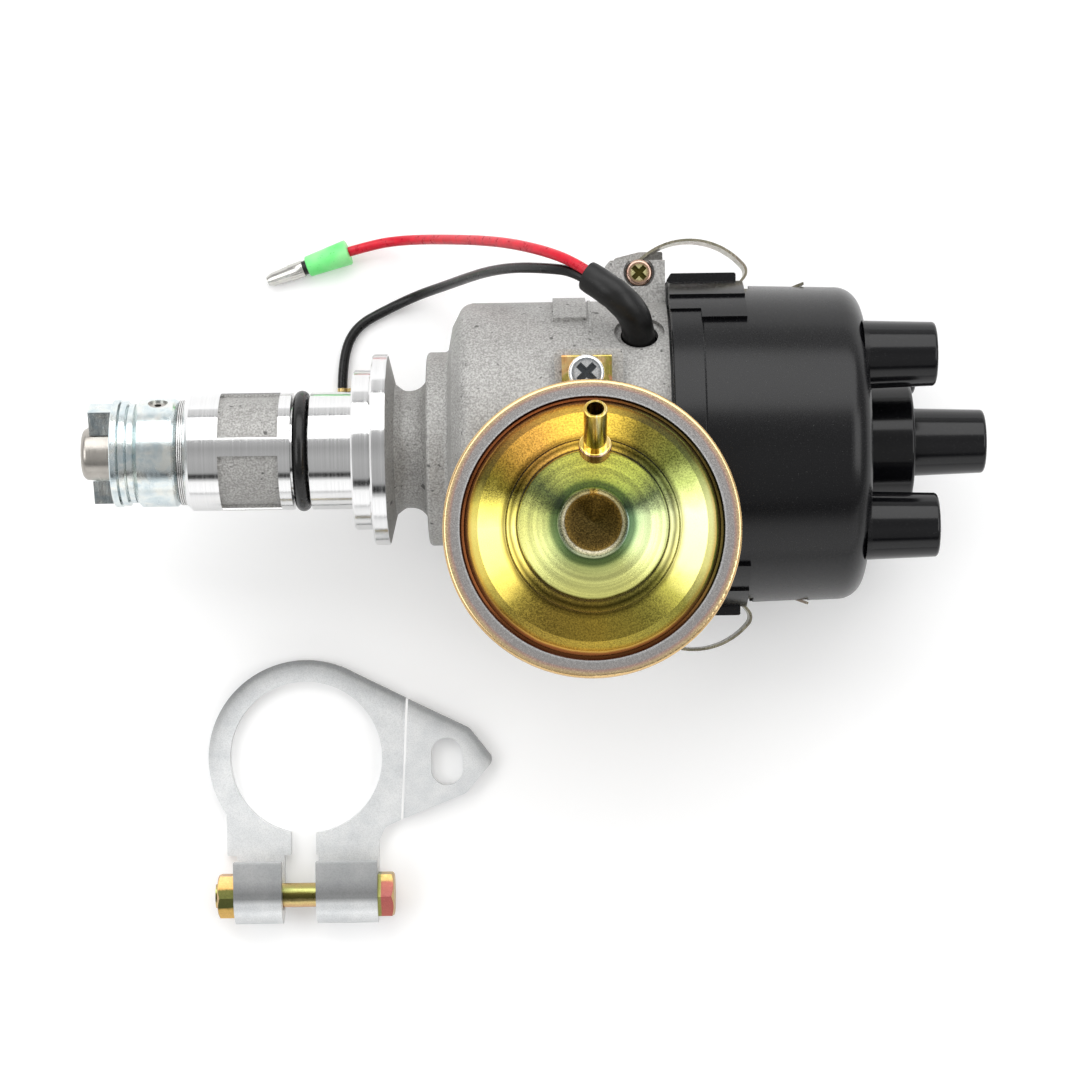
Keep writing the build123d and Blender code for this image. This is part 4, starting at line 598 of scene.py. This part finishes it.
def canister_gold():
    """Yellow passivate on the domed cover: its tint follows the rings pressed in the sheet, with painted
    highlights and shade on those rings, and painted reflections in sectors round the middle.
    """
    look = Look("canister_gold", (0.8, 0.66, 0.2), 0.22, 1.0)
    mapping = look.node("ShaderNodeMapping", vector_type="TEXTURE")
    mapping.inputs["Location"].default_value = tuple(value * MM for value in CANISTER_PLACE)
    mapping.inputs["Rotation"].default_value = (CANISTER_TILT, 0.0, 0.0)
    look.link(look.place, mapping.inputs["Vector"])
    split = look.node("ShaderNodeSeparateXYZ")
    look.link(mapping.outputs["Vector"], split.inputs[0])
    x, y = split.outputs["X"], split.outputs["Y"]
    radius = look.reach(x, y)
    cloud = look.noise(130.0, 3.0, 0.6)
    wobble = look.math("MULTIPLY_ADD", cloud, 0.0006, -0.0003)
    share = look.math("DIVIDE", look.math("ADD", radius, wobble), CANISTER_RADIUS * MM)
    # Radial tint: passivate colours, with painted highlights and painted shade on the ring steps, the
    # fillets, the steep wall and the rim's edge.
    tint = look.ramp(share, (
        (0.0, (0.15, 0.105, 0.03)), (0.15, (0.20, 0.13, 0.035)), (0.185, (0.40, 0.25, 0.06)),
        (0.189, (0.16, 0.12, 0.04)), (0.196, (0.90, 0.82, 0.60)), (0.210, (0.72, 0.68, 0.42)),
        (0.217, (0.26, 0.28, 0.14)), (0.226, (0.62, 0.68, 0.46)), (0.238, (0.10, 0.17, 0.06)),
        (0.275, (0.20, 0.28, 0.10)), (0.31, (0.74, 0.80, 0.32)), (0.36, (0.92, 0.94, 0.38)),
        (0.48, (0.96, 0.94, 0.34)), (0.50, (0.30, 0.25, 0.07)), (0.52, (0.96, 0.84, 0.32)),
        (0.545, (0.20, 0.17, 0.05)),
        (0.57, (0.96, 0.82, 0.28)), (0.59, (0.34, 0.28, 0.09)), (0.61, (0.96, 0.82, 0.26)),
        (0.80, (0.96, 0.82, 0.26)), (0.824, (0.86, 0.52, 0.12)), (0.840, (0.30, 0.10, 0.03)),
        (0.878, (0.14, 0.05, 0.02)), (0.888, (0.9, 0.9, 0.9)), (0.90, (0.56, 0.55, 0.54)),
        (0.94, (0.58, 0.54, 0.52)), (0.953, (0.72, 0.48, 0.40)), (0.972, (0.92, 0.70, 0.40)),
        (1.0, (0.70, 0.46, 0.20)),
    ))
    turn = look.math("MULTIPLY_ADD", look.math("ARCTAN2", y, x), 1 / math.tau, 0.5)
    turn = look.math("ADD", turn, look.math("MULTIPLY_ADD", cloud, 0.05, -0.025))
    # Painted reflections, with some tint: lighter and darker sectors round the cover, one ramp for each zone
    # of it.
    dome_reflection = look.ramp(turn, (
        (0.0, (1.0, 1.0, 0.85)), (0.07, (1.0, 0.92, 0.60)), (0.12, (0.40, 0.36, 0.20)),
        (0.18, (0.44, 0.36, 0.20)), (0.25, (0.56, 0.46, 0.22)), (0.33, (0.42, 0.42, 0.24)),
        (0.39, (0.42, 0.46, 0.28)), (0.44, (0.92, 1.0, 1.1)), (0.52, (0.84, 1.0, 1.4)),
        (0.57, (0.40, 0.54, 0.50)), (0.61, (0.10, 0.13, 0.09)), (0.67, (0.12, 0.11, 0.06)),
        (0.72, (0.58, 0.46, 0.20)), (0.78, (0.70, 0.50, 0.22)), (0.84, (0.48, 0.30, 0.18)),
        (0.895, (0.20, 0.14, 0.07)), (0.93, (0.14, 0.13, 0.06)), (0.965, (0.80, 0.80, 0.50)),
        (1.0, (1.0, 1.0, 0.85)),
    ))
    cone_reflection = look.ramp(turn, (
        (0.0, (0.60, 0.60, 0.50)), (0.12, (0.96, 1.0, 0.96)), (0.20, (1.0, 1.0, 0.86)),
        (0.34, (1.0, 1.0, 0.86)), (0.44, (0.80, 0.90, 1.1)), (0.52, (0.62, 0.72, 0.9)),
        (0.57, (0.10, 0.13, 0.12)),
        (0.63, (0.32, 0.36, 0.16)), (0.75, (0.38, 0.36, 0.13)), (0.84, (0.32, 0.33, 0.17)),
        (0.90, (0.08, 0.10, 0.07)), (0.93, (0.12, 0.14, 0.09)), (0.965, (0.50, 0.52, 0.40)),
        (1.0, (0.60, 0.60, 0.50)),
    ))
    wall_reflection = look.ramp(turn, (
        (0.0, (0.60, 0.60, 0.60)), (0.20, (0.9, 0.9, 0.9)), (0.36, (0.8, 0.9, 0.8)),
        (0.44, (0.30, 0.66, 0.5)), (0.66, (0.26, 0.50, 0.4)), (0.76, (0.60, 0.52, 0.5)),
        (1.0, (0.60, 0.60, 0.60)),
    ))
    on_cone = look.math("LESS_THAN", share, CONE_SHARE)
    on_boss = look.math("LESS_THAN", share, BOSS_SHARE)
    on_steep = look.math("GREATER_THAN", share, WALL_SHARE)
    on_rim = look.math("GREATER_THAN", share, RIM_SHARE)
    reflection_and_tint = look.mix(on_cone, dome_reflection, cone_reflection)
    reflection_and_tint = look.mix(on_steep, reflection_and_tint, wall_reflection)
    # Painted light and shade round the boss.
    shaded = look.ramp(turn, (
        (0.0, (1.0, 1.0, 1.0)), (0.34, (1.0, 1.0, 1.0)), (0.44, (0.66, 0.68, 0.60)),
        (0.62, (0.50, 0.46, 0.30)), (0.72, (0.86, 0.78, 0.56)), (0.84, (0.42, 0.38, 0.24)),
        (0.96, (1.0, 1.0, 1.0)),
    ))
    reflection_and_tint = look.mix(on_boss, reflection_and_tint, shaded)
    reflection_and_tint = look.mix(on_rim, reflection_and_tint, (1.0, 1.0, 1.0))
    color = look.mix(1.0, tint, reflection_and_tint, "MULTIPLY")
    grain = look.noise(2900.0, 2.0, 0.7)
    speck = look.ramp(grain, ((0.36, 0.22), (0.60, 1.0)))
    darkness = look.node("ShaderNodeRGBToBW")
    look.link(reflection_and_tint, darkness.inputs[0])
    grainy = look.math("SUBTRACT", 1.05, darkness.outputs[0])
    grainy = look.math("MINIMUM", look.math("MAXIMUM", grainy, 0.12), 0.9)
    grainy = look.mix(on_boss, grainy, 0.8)
    color = look.mix(grainy, color, look.mix(1.0, color, speck, "MULTIPLY"))
    ring_space = look.node("ShaderNodeCombineXYZ")
    look.link(radius, ring_space.inputs["X"])
    look.link(look.math("MULTIPLY", x, 0.02), ring_space.inputs["Y"])
    rings = look.node("ShaderNodeTexNoise")
    rings.inputs["Scale"].default_value = 900.0
    rings.inputs["Detail"].default_value = 3.0
    look.link(ring_space.outputs[0], rings.inputs["Vector"])
    swirl = look.ramp(rings.outputs["Fac"], ((0.38, 0.62), (0.60, 1.0)))
    swirled = look.mix(1.0, color, swirl, "MULTIPLY")
    look.color(look.mix(look.between(share, BOSS_SHARE, RING_SHARE), color, swirled))
    look.metal(look.mix(look.between(share, CONE_START_SHARE, CONE_SHARE), 1.0, 0.80))
    look.roughness(look.ramp(grain, ((0.3, 0.17), (0.7, 0.30))))
    ridges = look.math("MULTIPLY", rings.outputs["Fac"], look.between(share, BOSS_SHARE, RIDGE_SHARE))
    fine = look.math("MULTIPLY", grain, look.math("MULTIPLY_ADD", on_rim, -0.27, 0.35))
    look.bump(look.math("ADD", fine, look.math("MULTIPLY", ridges, 0.4)), 0.25, 0.00006)
    return look.material


def moulded_black(name, gloss_x=None):
    """Moulded black resin: satin, glossier past gloss_x, with faint dust and flow marks."""
    look = Look(name, (0.003, 0.003, 0.0035), 0.27, 0.0, Specular_IOR_Level=0.36)
    grain = look.noise(2600.0, 3.0, 0.6)
    flow = look.noise(60.0, 4.0, 0.6, (0.4, 1, 1), 0.8)
    dust = look.ramp(look.noise(5200.0, 1.0, 0.4), ((0.70, 0.0), (0.80, 0.05)))
    base = look.ramp(flow, ((0.3, (0.0015, 0.0015, 0.002)), (0.7, (0.004, 0.004, 0.005))))
    look.color(look.mix(1.0, base, dust, "ADD"))
    satin = look.ramp(grain, ((0.3, 0.22), (0.7, 0.29)))
    if gloss_x is None:
        look.roughness(satin)
    else:
        glossy = look.ramp(flow, ((0.3, 0.12), (0.7, 0.18)))
        look.roughness(look.mix(look.math("GREATER_THAN", look.axes()[0], gloss_x), satin, glossy))
    look.bump(grain, 0.05, 0.00004)
    return look.material


def rubber(name, color, rough, crease):
    """Extruded rubber or insulation: slight unevenness, creases and dust."""
    look = Look(name, color, rough, 0.0, Specular_IOR_Level=0.4)
    dents = look.noise(420.0, 4.0, 0.65)
    fine = look.noise(3000.0, 2.0, 0.5)
    dark, light = shade(color, 0.8), shade(color, 1.25)
    dust = look.ramp(look.noise(4200.0, 1.0, 0.4), ((0.72, 0.0), (0.80, 0.06)))
    look.color(look.mix(1.0, look.ramp(dents, ((0.3, dark), (0.7, light))), dust, "ADD"))
    look.roughness(look.ramp(dents, ((0.3, rough * 0.8), (0.7, min(1.0, rough * 1.25)))))
    height = look.math("ADD", look.math("MULTIPLY", dents, crease), look.math("MULTIPLY", fine, 0.15))
    look.bump(height, 0.3, 0.0002)
    return look.material


def clear_green():
    """Translucent green sleeve, paler where the crimp inside catches the light."""
    look = Look("green_sleeve", (0.16, 0.95, 0.22), 0.28, 0.0, Transmission_Weight=0.2, IOR=1.45)
    patch = look.noise(240.0, 1.0, 0.4)
    look.color(look.ramp(patch, (
        (0.30, (0.16, 0.93, 0.22)), (0.5, (0.24, 0.98, 0.30)), (0.68, (0.36, 0.98, 0.38)),
    )))
    look.roughness(look.ramp(look.noise(1800.0), ((0.3, 0.26), (0.7, 0.38))))
    look.bump(patch, 0.2, 0.0003)
    return look.material


def nozzle_gold():
    """Drawn tube with streaks along it, and a pink tint on its flared foot."""
    look = Look("nozzle_gold", (0.88, 0.62, 0.16), 0.16, 1.0)
    y, z = look.axes()[1:]
    streaks = look.noise(1500.0, 3.0, 0.6, (1, 0.06, 0.06))
    tube = look.ramp(streaks, (
        (0.3, (0.50, 0.30, 0.05)), (0.48, (0.92, 0.66, 0.16)), (0.66, (1.0, 0.86, 0.46)),
    ))
    foot = look.ramp(streaks, ((0.35, (0.46, 0.20, 0.14)), (0.65, (0.86, 0.58, 0.50))))
    height = look.math("MULTIPLY_ADD", y, math.tan(NOZZLE_TILT), z)
    on_foot = look.math("LESS_THAN", height, NOZZLE_FOOT * MM)
    look.color(look.mix(on_foot, tube, foot))
    look.roughness(look.ramp(streaks, ((0.3, 0.12), (0.7, 0.24))))
    look.bump(streaks, 0.1, 0.00004)
    return look.material


# Gold screw heads: plating tints in rings, with a painted highlight in the pale middle and darker brown at
# the rim.
GOLD_RINGS = (
    (0.0, (0.80, 0.70, 0.30)), (0.5, (0.86, 0.80, 0.42)), (0.68, (0.50, 0.34, 0.20)),
    (0.78, (0.52, 0.34, 0.26)), (0.88, (0.60, 0.42, 0.34)), (1.0, (0.20, 0.11, 0.06)),
)
# Colour of the painted shade in the gold screws' cross recess
SCREW_RECESS_SHADE = (0.10, 0.085, 0.02)
GOLD_TINTS = ((0.62, 0.55, 0.16), (0.86, 0.68, 0.24), (0.88, 0.60, 0.30), (0.84, 0.47, 0.40))
materials = {
    "cast_aluminium": cast_and_turned(),
    "bronze": brushed("bronze", (0.5, 0.33, 0.16), 0.4),
    "steel": brushed("steel", (0.50, 0.475, 0.44), 0.30),
    "zinc_plate": plated(
        "zinc_plate", ((0.80, 0.84, 0.86), (0.84, 0.86, 0.85), (0.86, 0.87, 0.82)), 0.34, 0.22,
    ),
    "yellow_zinc": plated("yellow_zinc", GOLD_TINTS, 0.24, 0.15, 300.0),
    "spring_steel": plated(
        "spring_steel", ((0.26, 0.24, 0.18), (0.46, 0.43, 0.32), (0.44, 0.36, 0.30)), 0.24, 0.05, 120.0,
    ),
    "brass": brushed("brass", (0.75, 0.58, 0.26), 0.3),
    "cap_plastic": moulded_black("cap_plastic", CAP_FACE_X * MM),
    "inner_plastic": moulded_black("inner_plastic"),
    "carbon": plated("carbon", ((0.03, 0.03, 0.03), (0.05, 0.05, 0.05)), 0.5, 0.3, 400.0, 0.0),
    "seal_rubber": rubber("seal_rubber", (0.005, 0.005, 0.005), 0.26, 0.1),
    "sleeve_rubber": rubber("sleeve_rubber", (0.004, 0.004, 0.004), 0.40, 0.9),
    "red_insulation": rubber("red_insulation", (0.60, 0.004, 0.022), 0.30, 0.1),
    "black_insulation": rubber("black_insulation", (0.006, 0.006, 0.006), 0.28, 0.2),
    "green_sleeve": clear_green(),
}
special = {
    "vacuum_front_cover": canister_gold(),
    "clamp_plate": clamp_zinc(),
    # Nut and bolt: plating tints, with painted shade in their dark middle bands.
    "clamp_nut": banded_gold("nut_gold", (
        (0.0, (0.72, 0.46, 0.16)), (0.22, (0.62, 0.40, 0.12)), (0.27, (0.07, 0.08, 0.025)),
        (0.68, (0.10, 0.10, 0.03)), (0.73, (0.66, 0.36, 0.12)), (1.0, (0.74, 0.44, 0.18)),
    )),
    "clamp_bolt": banded_gold("bolt_gold", (
        (0.20, (0.66, 0.36, 0.20)), (0.36, (0.70, 0.56, 0.24)), (0.46, (0.10, 0.09, 0.025)),
        (0.58, (0.14, 0.12, 0.03)), (0.66, (0.55, 0.58, 0.20)), (0.78, (0.62, 0.44, 0.18)),
    ), (
        (0.0, (0.48, 0.15, 0.12)), (0.49, (0.44, 0.12, 0.11)), (0.52, (0.30, 0.10, 0.09)),
        (0.82, (0.38, 0.13, 0.10)), (0.88, (0.62, 0.44, 0.16)),
    )),
    "top_pivot_screw": cross_screw("top_screw_gold", PIVOT_SCREW_TOP, GOLD_RINGS, SCREW_RECESS_SHADE),
    "bottom_pivot_screw": cross_screw("bottom_screw_gold", PIVOT_SCREW_BOTTOM, GOLD_RINGS, SCREW_RECESS_SHADE),
    # Bracket screw: plated rings, with painted shade in its cross recess
    "bracket_screws": cross_screw("bracket_screw_zinc", BRACKET_SCREW, (
        (0.0, (0.80, 0.83, 0.85)), (0.6, (0.86, 0.87, 0.88)), (0.78, (0.34, 0.36, 0.38)),
        (0.86, (0.88, 0.89, 0.9)),
    ), (0.10, 0.11, 0.12)),
    "vacuum_bracket": plated("bracket_gold", (
        (0.60, 0.20, 0.06), (0.84, 0.46, 0.18), (0.90, 0.66, 0.30), (0.52, 0.44, 0.10), (0.88, 0.42, 0.22),
    ), 0.26, 0.12, 190.0),
    "vacuum_nozzle": nozzle_gold(),
    "drive_dog": plated(
        "dog_zinc", ((0.62, 0.71, 0.74), (0.76, 0.82, 0.82), (0.84, 0.86, 0.82)), 0.22, 0.10, 300.0,
    ),
    "thrust_washers": washers_with_lines(),
}

for part in frame["record"]["subparts"]:
    mesh = NODES[part["node"]].data
    mesh.materials.clear()
    mesh.materials.append(special.get(part["node"], materials[part["material_slot"]]))


# Pieces in mesh code

def lathe(name, profile, place, arcs=((0, 360),), steps=72):
    """Closed profile of (radius, height) points turned about the place's Z axis through each arc."""
    shell = bmesh.new()
    for first, last in arcs:
        whole = last - first == 360
        count = max(3, round(steps * (last - first) / 360))
        rows = []
        for index in range(count if whole else count + 1):
            angle = math.radians(first + (last - first) * index / count)
            rows.append([
                shell.verts.new((radius * math.cos(angle) * MM, radius * math.sin(angle) * MM, height * MM))
                for radius, height in profile
            ])
        pairs = list(zip(rows, rows[1:] + rows[:1])) if whole else list(zip(rows, rows[1:]))
        for row, following in pairs:
            for index in range(len(profile)):
                onward = (index + 1) % len(profile)
                shell.faces.new((row[index], row[onward], following[onward], following[index]))
        if not whole:
            shell.faces.new(rows[0])
            shell.faces.new(reversed(rows[-1]))
    bmesh.ops.recalc_face_normals(shell, faces=shell.faces)
    return finished(name, shell, place)


def finished(name, shell, place=Matrix()):
    """Object from a bmesh, its points moved into the frame, smooth but for its sharp edges."""
    shell.transform(place)
    mesh = bpy.data.meshes.new(name)
    shell.to_mesh(mesh)
    shell.free()
    mesh.shade_smooth()
    mesh.set_sharp_from_angle(angle=math.radians(35))
    return added(name, mesh)


def install(piece, material, node=None):
    """Give a piece its material and slot, let it ride on the body and, if asked, stand for a node."""
    piece.data.materials.append(material)
    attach(piece, "body")
    if node:
        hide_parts(node)


def along(start, direction):
    """Matrix that puts the Z axis along a direction from a point, in millimetres."""
    turn = Vector(direction).to_track_quat("Z", "Y").to_matrix().to_4x4()
    return Matrix.Translation(Vector(start) * MM) @ turn


def circle_profile(radius, section, count):
    """Circle of that many points, its middle at a radius, for lathe to turn into a ring."""
    angles = [math.tau * index / count for index in range(count)]
    return [(radius + section * math.cos(angle), section * math.sin(angle)) for angle in angles]


seal_profile = circle_profile(SEAL_CENTRE_RADIUS, SEAL_SECTION_RADIUS, 20)
seal = lathe("seal_ring", seal_profile, along((SEAL_X, 0, 0), (1, 0, 0)), steps=120)
install(seal, materials["seal_rubber"], "shank_seal")

bullet_place = along(RED_ROUTE[-1], BULLET_DIRECTION)
bullet_tin = plated("bullet_tin", ((0.58, 0.57, 0.54), (0.66, 0.65, 0.61)), 0.20, 0.02, 500.0)
bullet = lathe("bullet_shell", BULLET_PROFILE, bullet_place, arcs=BULLET_HALVES)
install(bullet, bullet_tin, "bullet_terminal")
bullet_neck = lathe("bullet_neck", NECK_PROFILE, bullet_place)
install(bullet_neck, materials["black_insulation"])


def route_line(route, resolution):
    """Points read from the NURBS spline of a route, in millimetres, with the direction at each."""
    holder = bpy.data.objects.new("route_line", route_curve("route_line", route, resolution))
    line = bpy.data.meshes.new_from_object(holder)
    points = [vertex.co / MM for vertex in line.vertices]
    bpy.data.meshes.remove(line)
    bpy.data.curves.remove(holder.data)
    first, last = Vector(route[1]) - Vector(route[0]), Vector(route[-1]) - Vector(route[-2])
    legs = [after - before for before, after in zip(points, points[2:])]
    return [(point, leg.normalized()) for point, leg in zip(points, (first, *legs, last))]


def sleeve_shell():
    """Rubber sleeve, pressed oval toward its open end, with a rolled lip and a hollow mouth."""
    line = route_line(SLEEVE_ROUTE, 7)
    spread = Vector(WIRE_PAIR_OFFSET).normalized()
    last = len(line) - 1
    shell = bmesh.new()
    rows = []
    stations = [(index, 1.0) for index in range(last + 1)] + [(last, share) for share in MOUTH_SHARES]
    stations += [(last - step, BORE_SHARE) for step in range(BORE_STEPS)]
    for index, share in stations:
        centre, direction = line[index]
        wide = (spread - direction * spread.dot(direction)).normalized()
        flat = direction.cross(wide)
        press = SLEEVE_PRESS * max(0.0, index / last - SLEEVE_PRESS_START)
        lip = SLEEVE_LIP if index == last and share == 1.0 else 0.0
        row = []
        for step in range(SLEEVE_SIDES):
            angle = math.tau * step / SLEEVE_SIDES
            ridge = SLEEVE_RIDGE * math.sin(5 * angle + index)
            out_wide = SLEEVE_RADIUS * (1 + 0.4 * press) * share * math.cos(angle)
            out_flat = SLEEVE_RADIUS * (1 - press) * share * math.sin(angle)
            point = centre + wide * out_wide + flat * out_flat
            point += (wide * math.cos(angle) + flat * math.sin(angle)) * (ridge - lip)
            row.append(shell.verts.new(point * MM))
        rows.append(row)
    for row, following in zip(rows, rows[1:]):
        for step in range(SLEEVE_SIDES):
            onward = (step + 1) % SLEEVE_SIDES
            shell.faces.new((row[step], row[onward], following[onward], following[step]))
    shell.faces.new(reversed(rows[0]))
    shell.faces.new(rows[-1])
    bmesh.ops.recalc_face_normals(shell, faces=shell.faces)
    return finished("sleeve_shell", shell)


install(sleeve_shell(), materials["sleeve_rubber"], "wire_sleeve")

red_wire.data.materials.append(materials["red_insulation"])
black_wire.data.materials.append(materials["black_insulation"])
for piece, node in ((red_wire, "red_wire"), (black_wire, "black_wire")):
    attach(piece, "body")
    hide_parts(node)

bpy.context.scene.view_settings.view_transform = "Standard"
